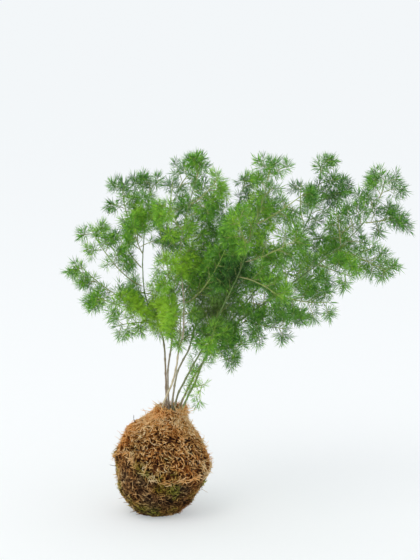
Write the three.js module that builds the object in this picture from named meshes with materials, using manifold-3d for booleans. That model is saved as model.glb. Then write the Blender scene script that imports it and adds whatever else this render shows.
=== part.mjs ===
// A kokedama: a ball of damp soil wrapped in two sheets of moss and bound with thread, with an asparagus fern
// growing out of its collar. Seven woody canes stand in the soil and carry leafy sprays, each a thin green
// branch with tufts of needles.
//
// Millimetres, +Z up. The origin is the middle of the small flat spot that the ball rests on, and the crown
// leans towards +X.
import * as THREE from "three";
import { mergeVertices } from "three/addons/utils/BufferGeometryUtils.js";
import Module from "manifold-3d";

const wasm = await Module();
wasm.setup();

// ---- Driving dimensions ----
const BALL_HEIGHT = 143; // from the flat spot to the rim of the moss collar
const BALL_RADIUS = 65; // of the moss at its widest
const MOSS_THICKNESS = 9;
const COLLAR_THICKNESS = 4.5; // of the moss round the mouth
const CLEARANCE = 1.3; // between soil and moss, whose facets then stay about 0.3 apart
const GAP = 0.3; // between a cane and a spray's root, and between the thread and a strand of moss
const THREAD_RADIUS = 0.6;
const CANE_RADIUS = 1.4; // where a cane leaves the soil
const CANE_TIP_RADIUS = 0.8;
const BRANCH_RADIUS = 0.75;
const NEEDLE_LENGTH = 13;

const { lerp, smoothstep, degToRad } = THREE.MathUtils;
const vec = (x, y, z) => new THREE.Vector3(x, y, z);
const up = vec(0, 0, 1);

// ---- Chance and smooth curves ----

// A number from 0 to 1 that is always the same for the same three numbers.
function chance(a, b = 0, c = 0) {
  const wave = Math.sin(a * 12.9898 + b * 78.233 + c * 37.719 + 4.1) * 43758.5453;
  return wave - Math.floor(wave);
}

// Reads a smooth curve through [place, value] points at any place.
function through(points, place) {
  const last = points.length - 1;
  if (place <= points[0][0]) return points[0][1];
  if (place >= points[last][0]) return points[last][1];
  const i = points.findIndex((p) => p[0] > place) - 1;
  const slope = (k) => {
    const [before, after] = [points[Math.max(k - 1, 0)], points[Math.min(k + 1, last)]];
    return (after[1] - before[1]) / (after[0] - before[0]);
  };
  const span = points[i + 1][0] - points[i][0];
  const t = (place - points[i][0]) / span;
  return (
    (1 + 2 * t) * (1 - t) ** 2 * points[i][1] +
    t * (1 - t) ** 2 * span * slope(i) +
    t * t * (3 - 2 * t) * points[i + 1][1] -
    t * t * (1 - t) * span * slope(i + 1)
  );
}

// ---- Closed skins ----

// A closed surface built from rings of points. A ring runs anticlockwise about the way the rings advance,
// which turns every face outwards. A face can be drawn out to a point, as a needle or a strand of moss is.
class Skin {
  points = [];
  faces = [];

  ring(points) {
    return points.map((p) => this.points.push(p) - 1);
  }

  face(a, b, c, drawn) {
    const tip = drawn ? drawn(this.points[a], this.points[b], this.points[c]) : null;
    if (!tip) {
      this.faces.push(a, b, c);
      return;
    }
    const [t] = this.ring([tip]);
    this.faces.push(a, b, t, b, c, t, c, a, t);
  }

  // Joins two rings. drawn is asked for the tip of each face, and half says which of a pair it is.
  band(lower, upper, drawn) {
    lower.forEach((a, j) => {
      const k = (j + 1) % lower.length;
      const [b, c, d] = [lower[k], upper[k], upper[j]];
      this.face(a, b, c, drawn && ((...corners) => drawn(corners, j, 0)));
      this.face(a, c, d, drawn && ((...corners) => drawn(corners, j, 1)));
    });
  }

  // Closes the skin before its first ring, or after its last one.
  startCap(pole, ring) {
    const [p] = this.ring([pole]);
    ring.forEach((a, j) => this.face(p, ring[(j + 1) % ring.length], a));
  }

  endCap(ring, pole, drawn) {
    const [p] = this.ring([pole]);
    ring.forEach((a, j) => {
      const b = ring[(j + 1) % ring.length];
      this.face(p, a, b, drawn && ((...corners) => drawn(corners, j, 0)));
    });
  }

  geometry() {
    const geometry = new THREE.BufferGeometry().setFromPoints(this.points);
    geometry.setIndex(this.faces);
    return geometry;
  }
}

// ---- Solids that are joined or cut ----

function solidFrom(geometry) {
  const bare = new THREE.BufferGeometry();
  bare.setAttribute("position", geometry.getAttribute("position"));
  bare.setIndex(geometry.index);
  const merged = mergeVertices(bare, 1e-4);
  return new wasm.Manifold(
    new wasm.Mesh({
      numProp: 3,
      vertProperties: merged.attributes.position.array,
      triVerts: new Uint32Array(merged.index.array),
    }),
  );
}

function geometryFrom(solid) {
  const { vertProperties, triVerts } = solid.getMesh();
  const geometry = new THREE.BufferGeometry();
  geometry.setAttribute("position", new THREE.BufferAttribute(vertProperties, 3));
  geometry.setIndex(new THREE.BufferAttribute(triVerts, 1));
  return geometry;
}

// ---- Tubes ----

// A ring of points round a place on a path. side is a unit vector square to the path there.
function ringRound(centre, along, side, radius, sides) {
  const across = along.clone().cross(side);
  return Array.from({ length: sides }, (_, j) => {
    const angle = (2 * Math.PI * j) / sides;
    return centre
      .clone()
      .addScaledVector(side, radius * Math.cos(angle))
      .addScaledVector(across, radius * Math.sin(angle));
  });
}

// The part of a vector that is square to a direction, as a unit vector.
function squareTo(direction, vector) {
  return vector.clone().addScaledVector(direction, -vector.dot(direction)).normalize();
}

// Adds a tube to a skin through stations {at, along, radius}, carrying the side vector on without twist.
function tubeRings(skin, stations, sides) {
  let side = squareTo(stations[0].along, vec(0.31, 0.87, 0.38));
  return stations.map(({ at, along, radius }) => {
    side = squareTo(along, side);
    return skin.ring(ringRound(at, along, side, radius, sides));
  });
}

// ---- What must stay clear of what ----

// Thin straight rods stand for thread, canes, branches and needles. owner names the node that a rod is in, and
// group the branch or the whorl.
const rods = [];
const WIDEST_GAP = 2; // that is asked for between two rods

// How far apart two rods' surfaces are, from the closest points of their centre lines.
function gapBetween(p, q) {
  const [d1, d2] = [p.to.clone().sub(p.from), q.to.clone().sub(q.from)];
  const r = p.from.clone().sub(q.from);
  const [a, e, b] = [d1.dot(d1), d2.dot(d2), d1.dot(d2)];
  const [c, f] = [d1.dot(r), d2.dot(r)];
  const share = (x) => THREE.MathUtils.clamp(x, 0, 1);
  const spread = a * e - b * b;
  const first = spread > 1e-9 ? share((b * f - c * e) / spread) : 0;
  const t = share((b * first + f) / e);
  const s = share((b * t - c) / a);
  const onP = p.from.clone().addScaledVector(d1, s);
  const onQ = q.from.clone().addScaledVector(d2, t);
  const radii = lerp(p.start, p.end, s) + lerp(q.start, q.end, t);
  return onP.distanceTo(onQ) - radii;
}

// start and end are its radii, and reach is how far from its middle something else could come near it.
function rod(from, to, start, end, owner, group) {
  const middle = from.clone().lerp(to, 0.5);
  const reach = from.distanceTo(to) / 2 + Math.max(start, end) + WIDEST_GAP;
  return { from, to, start, end, owner, group, middle, reach };
}

// Says if a rod keeps a gap to every other rod, apart from those that it may touch.
function isClear(tried, gap, mayTouch) {
  return rods.every(
    (other) =>
      other.middle.distanceTo(tried.middle) > other.reach + tried.reach ||
      mayTouch(other) ||
      gapBetween(tried, other) > gap,
  );
}

// ---- The ball's shape ----

// The moss profile, as shares of BALL_HEIGHT and BALL_RADIUS: a rounded cone over a bowl, with a narrow collar.
const BALL_PROFILE = [
  [0, 0.37], [0.03, 0.51], [0.08, 0.65], [0.17, 0.79], [0.25, 0.89], [0.35, 0.96], [0.45, 1], [0.55, 0.98],
  [0.63, 0.91], [0.73, 0.8], [0.81, 0.69], [0.87, 0.55], [0.92, 0.45], [0.965, 0.41], [1, 0.39],
]; // prettier-ignore
// How far the ball's middle leans towards +X at each share of its height, in millimetres.
const BALL_LEAN = [
  [0, 0], [0.14, 1], [0.42, 6.5], [0.53, 6.5], [0.8, 4.5], [0.88, 8.5], [0.94, 15], [1, 18],
]; // prettier-ignore
const LAP = 1.2; // the upper sheet of moss stands out this much, and the lower one in

const ballRadius = (z) => BALL_RADIUS * through(BALL_PROFILE, z / BALL_HEIGHT);
const ballLean = (z) => through(BALL_LEAN, z / BALL_HEIGHT);
const mossThickness = (z) => lerp(MOSS_THICKNESS, COLLAR_THICKNESS, smoothstep(z, 105, 135));
const insideRadius = (z) => ballRadius(z) - mossThickness(z);

// The height where the upper sheet of moss laps over the lower one.
function seamHeight(angle) {
  return 62 + 12 * Math.cos(angle + degToRad(150)) + 10 * Math.cos(2 * (angle + degToRad(143)));
}

// Low rounded lumps in the moss, in millimetres.
function lumps(angle, z) {
  return (
    1.1 * Math.sin(3 * angle + z / 19 + 0.7) * Math.cos(2 * angle - z / 13) +
    0.8 * Math.sin(7 * angle - z / 9) +
    0.5 * Math.sin(11 * angle + z / 6 + 2)
  );
}

const upperRadius = (angle, z) =>
  ballRadius(z) + lumps(angle, z) + LAP * (1 - smoothstep(z - seamHeight(angle), 25, 70));
const lowerRadius = (angle, z) => ballRadius(z) + (z > 0 ? lumps(angle, z) - LAP : 0);

// A point on the ball at an angle and a height.
const onBall = (angle, z, radius) =>
  vec(ballLean(z) + radius * Math.cos(angle), radius * Math.sin(angle), z);

// A ring of points on the ball, where height and radius may change round it.
function ballRing(sides, heightAt, radiusAt) {
  return Array.from({ length: sides }, (_, j) => {
    const angle = (2 * Math.PI * j) / sides;
    const z = heightAt(angle);
    return onBall(angle, z, radiusAt(angle, z));
  });
}

// ---- Thread ----

const THREAD_SIDES = 3;
const THREAD_STEPS = 24;
const THREAD_LIFT = 1.95; // from the moss to the middle of the thread, over the low lumps
// Each turn of the thread tilts round the ball: [middle height, rise, where it is highest in degrees].
const THREAD_TURNS = [
  [68, 32, 35],
  [64, 34, 250],
];

// One turn of thread, lying on the moss. It comes off the lower sheet a little before the upper one's edge.
function threadTurn([middle, rise, highest], number) {
  const skin = new Skin();
  const stations = Array.from({ length: THREAD_STEPS }, (_, i) => {
    const angle = (2 * Math.PI * i) / THREAD_STEPS;
    const z = middle + rise * Math.cos(angle - degToRad(highest));
    const below = smoothstep(z - seamHeight(angle), -22, -4);
    const radius = lerp(lowerRadius(angle, z), upperRadius(angle, z), below);
    return onBall(angle, z, radius + THREAD_LIFT);
  });
  const at = (i) => stations[(i + THREAD_STEPS) % THREAD_STEPS];
  const rings = stations.map((centre, i) => {
    const along = at(i + 1).clone().sub(at(i - 1)).normalize();
    const outwards = squareTo(along, centre.clone().setZ(0));
    rods.push(rod(centre, at(i + 1), THREAD_RADIUS, THREAD_RADIUS, "binding_thread", "turn" + number));
    return skin.ring(ringRound(centre, along, outwards, THREAD_RADIUS, THREAD_SIDES));
  });
  rings.forEach((ring, i) => skin.band(ring, rings[(i + 1) % rings.length]));
  return skin.geometry();
}

function bindingThread() {
  return geometryFrom(wasm.Manifold.union(THREAD_TURNS.map((turn, i) => solidFrom(threadTurn(turn, i)))));
}

// ---- Canes ----

const CANE_SIDES = 5;
const CANE_STEP = 36; // between the rings of a cane
const CANE_DEPTH = 17; // of a cane's foot below the soil
const HOLE_CLEARANCE = 0.5;
const HOLE_LENGTH = CANE_DEPTH + 8; // which takes its far end out of the soil

// Each cane's route above the soil, from where it leaves the soil to its top.
const CANE_ROUTES = {
  a: [
    [12, 2, 140], [11, 6, 194], [8, 12, 234], [-2, 18, 263], [-15, 20, 289], [-19, 18, 330],
    [-17, 14, 369], [-13, 10, 406], [-9, 8, 428],
  ],
  b: [
    [15, 10, 139], [14, 16, 192], [18, 26, 220], [20, 36, 242], [19, 52, 281], [13, 66, 322],
    [10, 80, 364], [19, 92, 405], [29, 97, 428],
  ],
  c: [
    [4, -6, 139], [13, -6, 163], [20, -7, 179], [26, -9, 203], [29, -12, 225], [35, -16, 248],
    [36, -20, 274], [36, -24, 295], [34, -30, 323], [32, -38, 357], [37, -44, 397], [47, -48, 436],
    [53, -50, 458],
  ],
  d: [
    [19, 5, 140], [22, 8, 166], [27, 14, 190], [36, 24, 207], [42, 32, 217], [47, 42, 234],
    [57, 58, 266], [70, 76, 304], [87, 92, 343], [105, 104, 390], [114, 106, 420],
  ],
  e: [
    [21, -12, 138], [28, -14, 166], [38, -17, 187], [49, -22, 209], [61, -30, 232], [73, -42, 261],
    [91, -60, 302], [109, -78, 344], [123, -92, 391], [137, -100, 436], [142, -101, 460],
  ],
  f: [
    [27, 4, 139], [40, 6, 167], [50, 10, 186], [63, 16, 206], [76, 24, 224], [100, 36, 256],
    [133, 50, 295], [171, 62, 337], [200, 68, 381], [214, 66, 420], [218, 62, 444],
  ],
  g: [
    [31, -8, 138], [41, -10, 162], [51, -10, 182], [60, -10, 206], [69, -11, 223], [89, -16, 248],
    [125, -24, 279], [174, -34, 317], [225, -40, 357], [266, -42, 397], [287, -40, 430],
  ],
}; // prettier-ignore

// A cane's curve, with its straight foot in the soil below the route's first point.
function caneCurve(route) {
  const points = route.map((p) => vec(...p));
  const rising = points[1].clone().sub(points[0]).normalize();
  const foot = points[0].clone().addScaledVector(rising, -CANE_DEPTH);
  return new THREE.CatmullRomCurve3([foot, ...points], false, "centripetal");
}

const caneCurves = Object.fromEntries(
  Object.entries(CANE_ROUTES).map(([letter, route]) => [letter, caneCurve(route)]),
);

function cane(letter) {
  const curve = caneCurves[letter];
  const steps = Math.round(curve.getLength() / CANE_STEP);
  const stations = Array.from({ length: steps + 1 }, (_, i) => ({
    at: curve.getPointAt(i / steps),
    along: curve.getTangentAt(i / steps),
    radius: lerp(CANE_RADIUS, CANE_TIP_RADIUS, i / steps),
  }));
  const skin = new Skin();
  const rings = tubeRings(skin, stations, CANE_SIDES);
  skin.startCap(stations[0].at, rings[0]);
  stations.slice(1).forEach(({ at, radius }, i) => {
    skin.band(rings[i], rings[i + 1]);
    rods.push(rod(stations[i].at, at, stations[i].radius, radius, "cane_" + letter, "cane_" + letter));
  });
  skin.endCap(rings[steps], stations[steps].at);
  return skin.geometry();
}

// ---- Soil ----

const SOIL_SIDES = 20;
const SOIL_HEIGHTS = [14, 22, 36, 55, 75, 96, 107, 115, 123, 130, 136]; // up to its edge in the moss's mouth
const SOIL_BOTTOM = MOSS_THICKNESS + CLEARANCE;
const SOIL_CROWN = 140; // the top of the low dome in the mouth

function soilBall() {
  const skin = new Skin();
  const rings = SOIL_HEIGHTS.map((height) =>
    skin.ring(ballRing(SOIL_SIDES, () => height, (angle, z) => insideRadius(z) - CLEARANCE)),
  ); // prettier-ignore
  skin.startCap(vec(0, 0, SOIL_BOTTOM), rings[0]);
  rings.slice(1).forEach((ring, i) => skin.band(rings[i], ring));
  skin.endCap(rings.at(-1), vec(ballLean(SOIL_CROWN), 0, SOIL_CROWN));
  const holes = wasm.Manifold.union(Object.values(caneCurves).map(caneHole));
  return geometryFrom(solidFrom(skin.geometry()).subtract(holes));
}

// The plain hole that a cane stands in.
function caneHole(curve) {
  const [foot, along] = [curve.getPointAt(0), curve.getTangentAt(0)];
  const stations = [-HOLE_CLEARANCE, HOLE_LENGTH].map((distance) => ({
    at: foot.clone().addScaledVector(along, distance),
    along,
    radius: CANE_RADIUS + HOLE_CLEARANCE,
  }));
  const skin = new Skin();
  const [low, high] = tubeRings(skin, stations, CANE_SIDES);
  skin.startCap(stations[0].at, low);
  skin.band(low, high);
  skin.endCap(high, stations[1].at);
  return solidFrom(skin.geometry());
}

// ---- Moss ----

const MOSS_SIDES = 28;
const SEAM_GAP = 0.6; // up the ball, between the two sheets' edges
const STRAND_RISE = 3.4;
const STRAND_LEAN = 4.2;
const STRAND_SHARE = 0.5; // of the pairs of faces, which a strand springs from
const STRAND_FOOT = 3; // radius of a strand at its foot
const STRAND_POINT = 0.2;
const INSIDE_LOW = 36; // between these heights the rings inside the moss follow the seam
const INSIDE_HIGH = 96;
const LIP_DEPTH = 2; // over which the lower sheet's edge is rounded off

// The tip of a strand of moss, drawn out of a face of the surface. Strands lie over in a slowly turning
// direction, and there is none where it would touch the thread, a cane or the other sheet.
function mossStrand(owner, ringNumber, corners, column, half) {
  if (half !== (ringNumber + column) % 2 || chance(column, ringNumber, 3) > STRAND_SHARE) return null;
  const [a, b, c] = corners;
  const centre = a.clone().add(b).add(c).divideScalar(3);
  const outwards = b.clone().sub(a).cross(c.clone().sub(a)).normalize();
  const angle = Math.atan2(centre.y, centre.x - ballLean(centre.z));
  const swirl = 1.6 * Math.sin(angle + centre.z / 40) + 1.2 * Math.sin(2 * angle - centre.z / 50);
  const lean = squareTo(outwards, vec(-Math.sin(angle), Math.cos(angle), 0))
    .multiplyScalar(Math.cos(swirl))
    .addScaledVector(squareTo(outwards, up), Math.sin(swirl));
  const size = 0.55 + 0.7 * chance(ringNumber, column, owner.length);
  const tip = centre
    .clone()
    .addScaledVector(outwards, STRAND_RISE * size)
    .addScaledVector(lean, STRAND_LEAN * size);
  const above = tip.z - seamHeight(Math.atan2(tip.y, tip.x - ballLean(tip.z)));
  const isOnSheet = owner === "moss_upper" ? above > 1 : above < -2 && tip.z > 1.5;
  const body = [
    rod(centre, tip, STRAND_FOOT, STRAND_POINT, owner),
    ...corners.map((corner) => rod(corner, tip, STRAND_POINT, STRAND_POINT, owner)),
  ];
  return isOnSheet && body.every((part) => isClear(part, GAP, () => false)) ? tip : null;
}

// Adds an outer surface of moss to a skin: one ring for each function of height, joined by shaggy bands.
function shaggyRings(skin, owner, heights, radiusAt) {
  const rings = heights.map((heightAt) => skin.ring(ballRing(MOSS_SIDES, heightAt, radiusAt)));
  rings
    .slice(1)
    .forEach((ring, i) => skin.band(rings[i], ring, (...face) => mossStrand(owner, i, ...face)));
  return rings;
}

function plainRings(skin, heights, radiusAt) {
  const rings = heights.map((heightAt) => skin.ring(ballRing(MOSS_SIDES, heightAt, radiusAt)));
  rings.slice(1).forEach((ring, i) => skin.band(rings[i], ring));
  return rings;
}

// Rings at fixed shares of the way between two heights, which may change round the ball.
function between(low, high, shares) {
  return shares.map((share) => (angle) => lerp(low(angle), high(angle), share));
}

const level = (height) => () => height;

// The lower sheet: a cup with a flat foot, up to the seam.
function lowerMoss() {
  const skin = new Skin();
  const edge = (angle) => seamHeight(angle) - SEAM_GAP;
  const outside = between(level(0), edge, [0, 0.07, 0.18, 0.32, 0.47, 0.62, 0.78, 0.95]);
  const inside = [
    ...between(level(INSIDE_LOW), edge, [1, 0.67, 0.33, 0]),
    ...[22, 13].map(level),
  ];
  const outer = shaggyRings(skin, "moss_lower", outside, lowerRadius);
  const [lip] = plainRings(skin, [edge], (angle, z) => lowerRadius(angle, z) - LIP_DEPTH);
  const inner = plainRings(skin, inside, (angle, z) => insideRadius(z));
  skin.startCap(vec(0, 0, 0), outer[0]);
  skin.band(outer.at(-1), lip);
  skin.band(lip, inner[0]);
  skin.endCap(inner.at(-1), vec(0, 0, MOSS_THICKNESS));
  return skin.geometry();
}

const raggedRim = (angle) =>
  BALL_HEIGHT + 1.2 * Math.sin(5 * angle) + 0.8 * Math.sin(8 * angle + 1);

// The upper sheet: a bell that laps out over the lower one and narrows to the collar round the canes.
function upperMoss() {
  const skin = new Skin();
  const shares = [0, 0.09, 0.2, 0.32, 0.44, 0.56, 0.68, 0.79, 0.88, 0.96];
  const outside = between(seamHeight, level(BALL_HEIGHT), shares);
  const inside = [
    ...[139, 130, 123, 115, 107].map(level),
    ...between(seamHeight, level(INSIDE_HIGH), [1, 0.67, 0.33, 0]),
  ];
  const outer = shaggyRings(skin, "moss_upper", outside, upperRadius);
  const [rim] = plainRings(skin, [raggedRim], (angle, z) => insideRadius(z) + COLLAR_THICKNESS / 2);
  const inner = plainRings(skin, inside, (angle, z) => insideRadius(z));
  skin.band(outer.at(-1), rim, (...face) => mossStrand("moss_upper", outer.length, ...face));
  skin.band(rim, inner[0]);
  skin.band(inner.at(-1), outer[0]);
  return skin.geometry();
}

// ---- Sprays ----

// [cane, height where it springs, then its tip x, y, z]
const SPRAYS = [
  ["a", 255, -55, 0, 255],
  ["a", 270, -80, -30, 300],
  ["a", 280, -105, 5, 340],
  ["a", 305, -85, -20, 390],
  ["a", 330, -55, 40, 375],
  ["a", 350, -30, -45, 405],
  ["a", 370, -45, 10, 445],
  ["a", 430, -10, 15, 450],
  ["b", 280, -35, 90, 285],
  ["b", 330, 0, 120, 380],
  ["b", 390, 20, 125, 435],
  ["b", 435, 45, 95, 450],
  ["c", 245, 34, -72, 294],
  ["c", 290, 90, -100, 375],
  ["c", 315, 5, -85, 355],
  ["c", 350, 68, -15, 395],
  ["c", 390, 20, -85, 430],
  ["c", 425, 80, -80, 460],
  ["c", 460, 60, -45, 480],
  ["d", 255, 85, 110, 260],
  ["d", 290, 50, 130, 320],
  ["d", 325, 145, 130, 335],
  ["d", 350, 150, 50, 375],
  ["d", 380, 150, 120, 405],
  ["d", 425, 120, 105, 445],
  ["e", 250, 75, -85, 260],
  ["e", 300, 112, 5, 325],
  ["e", 335, 165, -110, 310],
  ["e", 355, 185, -95, 390],
  ["e", 380, 105, -130, 420],
  ["e", 405, 195, -70, 445],
  ["e", 465, 145, -100, 485],
  ["f", 220, 95, 35, 195],
  ["f", 250, 140, 90, 250],
  ["f", 280, 195, 75, 245],
  ["f", 320, 225, 100, 295],
  ["f", 360, 245, 65, 370],
  ["f", 380, 195, 95, 435],
  ["f", 410, 255, 90, 425],
  ["f", 445, 215, 55, 470],
  ["g", 175, 65, -35, 185],
  ["g", 240, 105, -50, 230],
  ["g", 270, 170, -40, 260],
  ["g", 305, 225, -65, 300],
  ["g", 345, 250, -75, 335],
  ["g", 365, 305, -25, 330],
  ["g", 370, 235, -10, 410],
  ["g", 400, 325, -10, 405],
  ["g", 435, 295, -40, 460],
];

const BRANCH_SIDES = 3;
const WHORL_RADIUS = 1; // of a branch where a whorl of needles grows from it
const WHORL_DEPTH = 1.5; // along the branch
const WHORL_STEP = 8.5; // between the two whorls of a tuft
const ROOT_LENGTH = 1.6; // over which a branch widens from its root
const NEEDLE_GAP = 0.35; // between a needle and anything that it doesn't grow from
const LEAVING = [0.85, 0.5]; // how a main branch leaves its cane: this much outwards, and this much along it
const BEND = 0.4; // share of a main branch that its cane's side shapes
const CROWDED = 2; // a side branch keeps this far from canes and from other sprays
const NEEDLE_FOOT = 0.6; // radius of a needle at its foot
const NEEDLE_POINT = 0.05;
const NEEDLE_TRIES = 5;
const BUD_LENGTH = 0.7; // from the last whorl to the very end of a branch
const BUD_LIFT = 1.2; // of the last three needles, nearly straight ahead
const SPRING_STEP = 27; // about this far apart along a main branch, side branches spring
const FIRST_SPRING = 0.26; // share of a main branch's length at its first side branch
const LAST_SPRING = 11; // from the last side branch to the tip
const LONG_BRANCH = 50; // a main branch over this length has a tuft on its way too
const SIDE_REACH = [31, 18]; // length of a spray's first and last side branch
const SIDE_ANGLE = 1; // between a side branch and its main branch, in radians
const SIDE_TURNS = 10;

// Where a cane passes a height, or its end: the place, the way it rises there and its radius.
function caneAt(letter, height) {
  const parts = rods.filter((r) => r.owner === "cane_" + letter);
  const part = parts.find((r) => r.to.z >= height) ?? parts.at(-1);
  const share = Math.min((height - part.from.z) / (part.to.z - part.from.z), 1);
  return {
    on: part.from.clone().lerp(part.to, share),
    rising: part.to.clone().sub(part.from).normalize(),
    radius: lerp(part.start, part.end, share),
    isEnd: part === parts.at(-1) && share === 1,
  };
}

// A spray's main branch: it leaves the cane sideways and upwards, or goes on from its end, and bends to the
// tip.
function mainCurve([letter, height, ...tip]) {
  const { on, rising, radius, isEnd } = caneAt(letter, height);
  const end = vec(...tip);
  const outwards = isEnd ? rising : squareTo(rising, end.clone().sub(on));
  const root = on.clone().addScaledVector(outwards, GAP + (isEnd ? 0 : radius));
  const leaving = outwards.clone().multiplyScalar(LEAVING[0]).addScaledVector(rising, LEAVING[1]);
  const bend = root.clone().addScaledVector(leaving.normalize(), BEND * root.distanceTo(end));
  return new THREE.QuadraticBezierCurve3(root, bend, end);
}

// The rings of a tuft's two whorls, at distances along its branch. The needles of a whorl are drawn out of the
// faces below its second ring. lifts and swings turn those of a pair of faces up the branch and round it.
function tuftRings(s, isEnd) {
  return [
    { s: s - WHORL_STEP - WHORL_DEPTH, radius: BRANCH_RADIUS },
    { s: s - WHORL_STEP, radius: WHORL_RADIUS, lifts: [-0.25, 0.2], swings: [0.17, -0.17] },
    { s: s - WHORL_DEPTH, radius: BRANCH_RADIUS },
    { s, radius: isEnd ? WHORL_RADIUS : BRANCH_RADIUS, lifts: [0.15, 0.65], swings: [-0.2, -0.4] },
  ];
}

// The stations of a branch's rings: by its root, where side branches spring from it, and at its tufts.
function branchStations(curve, springs, tufts) {
  const length = curve.getLength();
  const plain = [ROOT_LENGTH, ...springs].map((s) => ({ s, radius: BRANCH_RADIUS }));
  const rings = [...plain, ...tufts.flatMap((s) => tuftRings(s, s === length))];
  return rings
    .sort((p, q) => p.s - q.s)
    .map((ring) => {
      const share = ring.s / length;
      return { ...ring, at: curve.getPointAt(share), along: curve.getTangentAt(share) };
    });
}

// The middles of all tufts so far.
const tuftMiddles = [];

// Plans a spray: its main curve, how far along it the side branches spring, and its rings. Its rods are set
// out, for other branches and all needles to keep clear of.
function planSpray(row, number) {
  const curve = mainCurve(row);
  const length = curve.getLength();
  const count = Math.max(2, Math.round(length / SPRING_STEP));
  const [first, last] = [FIRST_SPRING * length, length - LAST_SPRING];
  const springs = Array.from({ length: count }, (_, j) => lerp(first, last, j / (count - 1)));
  const tufts = [length];
  if (length > LONG_BRANCH) tufts.push((springs.at(-1) + springs.at(-2) + WHORL_STEP) / 2);
  const owner = "spray" + number;
  const stations = branchStations(curve, springs, tufts);
  [{ at: curve.getPointAt(0) }, ...stations.slice(0, -1)].forEach(({ at }, i) => {
    rods.push(rod(at, stations[i].at, BRANCH_RADIUS, BRANCH_RADIUS, owner, owner));
  });
  tuftMiddles.push(...tufts.map((s) => curve.getPointAt(s / length)));
  return { curve, length, springs, stations, owner, number };
}

// The side branches of a spray. Each turns to the side of its main branch where its tuft gets the most room, as
// shoots do that grow to the light, and is left out if it can't keep clear of canes and of other sprays.
function sideCurves({ curve, length, springs, owner, number }) {
  const sides = springs.map((s, j) => {
    const [from, along] = [curve.getPointAt(s / length), curve.getTangentAt(s / length)];
    const vigour = 0.85 + 0.3 * chance(number, j, 1);
    const reach = vigour * lerp(...SIDE_REACH, j / (springs.length - 1));
    const choices = Array.from({ length: SIDE_TURNS }, (_, turn) => {
      const angle = (2 * Math.PI * (turn + chance(number, j, 2))) / SIDE_TURNS;
      const side = squareTo(along, vec(0.31, 0.87, 0.38)).applyAxisAngle(along, angle);
      const to = from
        .clone()
        .addScaledVector(side, reach * Math.sin(SIDE_ANGLE))
        .addScaledVector(along, reach * Math.cos(SIDE_ANGLE));
      const room = Math.min(...tuftMiddles.map((middle) => middle.distanceTo(to)));
      return { to, room, body: rod(from, to, BRANCH_RADIUS, WHORL_RADIUS, owner, owner + "/" + j) };
    });
    const clear = choices.filter(({ body }) => isClear(body, CROWDED, (other) => other.owner === owner));
    if (!clear.length) return null;
    const best = clear.reduce((p, q) => (q.room > p.room ? q : p));
    rods.push(best.body);
    tuftMiddles.push(best.to);
    return new THREE.LineCurve3(from, best.to);
  });
  return sides.filter(Boolean);
}

// The tip of a needle that springs from a whorl through a face. It turns a little and stays shorter to keep
// clear of what is near, and there is none where it can't.
function needleTip({ owner, branch, whorl, middle, along }, lift, swing, seed, corners) {
  const centre = corners[0].clone().add(corners[1]).add(corners[2]).divideScalar(3);
  const sideways = squareTo(along, centre.clone().sub(middle));
  for (let trial = 0; trial < NEEDLE_TRIES; trial++) {
    const shift = (k) => 0.2 * (chance(seed, trial, k) - 0.5);
    const length = NEEDLE_LENGTH * (0.84 + 0.2 * chance(seed, 7)) * (1 - 0.09 * trial);
    const direction = sideways
      .clone()
      .applyAxisAngle(along, swing + shift(2))
      .multiplyScalar(Math.cos(lift + shift(1)))
      .addScaledVector(along, Math.sin(lift + shift(1)));
    const tip = middle.clone().addScaledVector(direction, length);
    const tried = rod(centre, tip, NEEDLE_FOOT, NEEDLE_POINT, owner, whorl);
    if (isClear(tried, NEEDLE_GAP, ({ group }) => group === whorl || group === branch)) {
      rods.push(tried);
      return tip;
    }
  }
  return null;
}

// A branch as one closed skin, with whorls of needles at its tufts and a last three needles right ahead.
function leafyBranch(curve, stations, owner, branch, seed) {
  const skin = new Skin();
  const rings = tubeRings(skin, stations, BRANCH_SIDES);
  const needles = (i, lifts, swings) => {
    const { at, along } = stations[i];
    const middle = at.clone().addScaledVector(along, -WHORL_DEPTH / 3);
    const place = { owner, branch, whorl: `${branch}@${i}`, middle, along };
    return (corners, column, half) => {
      const own = seed + 7 * i + 2 * column + half + lifts[half];
      return needleTip(place, lifts[half], swings[half], own, corners);
    };
  };
  skin.startCap(curve.getPointAt(0), rings[0]);
  stations.slice(1).forEach(({ lifts, swings }, i) => {
    skin.band(rings[i], rings[i + 1], lifts && needles(i + 1, lifts, swings));
  });
  const { at, along } = stations.at(-1);
  const pole = at.clone().addScaledVector(along, BUD_LENGTH);
  skin.endCap(rings.at(-1), pole, needles(stations.length - 1, [BUD_LIFT], [0]));
  return solidFrom(skin.geometry());
}

// Every branch is set out before any needle, so that the needles keep clear of all of them.
function sprays() {
  const plans = SPRAYS.map(planSpray);
  const sides = plans.map(sideCurves);
  return plans.map(({ curve, stations, owner, number }) => {
    const main = leafyBranch(curve, stations, owner, owner, 1000 * number);
    const others = sides[number].map((side, j) => {
      const sideStations = branchStations(side, [], [side.getLength()]);
      return leafyBranch(side, sideStations, owner, `${owner}/${j}`, 1000 * number + 100 * (j + 1));
    });
    return geometryFrom(wasm.Manifold.union([main, ...others]));
  });
}

// ---- Materials ----

const finish = (color, roughness) =>
  new THREE.MeshStandardMaterial({ color, roughness, metalness: 0, flatShading: true });
const soilFinish = finish("#3a2a1c", 0.95);
const upperMossFinish = finish("#a8743a", 0.9);
const lowerMossFinish = finish("#5c5227", 0.9);
const threadFinish = finish("#4a3a26", 0.8);
const caneFinish = finish("#9c8868", 0.7);
const needleFinish = finish("#4f8f35", 0.55);

// ---- The whole plant ----

const kokedama = new THREE.Group();
kokedama.name = "kokedama";

function add(name, geometry, material) {
  const mesh = new THREE.Mesh(geometry, material);
  mesh.name = name;
  kokedama.add(mesh);
}

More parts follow.
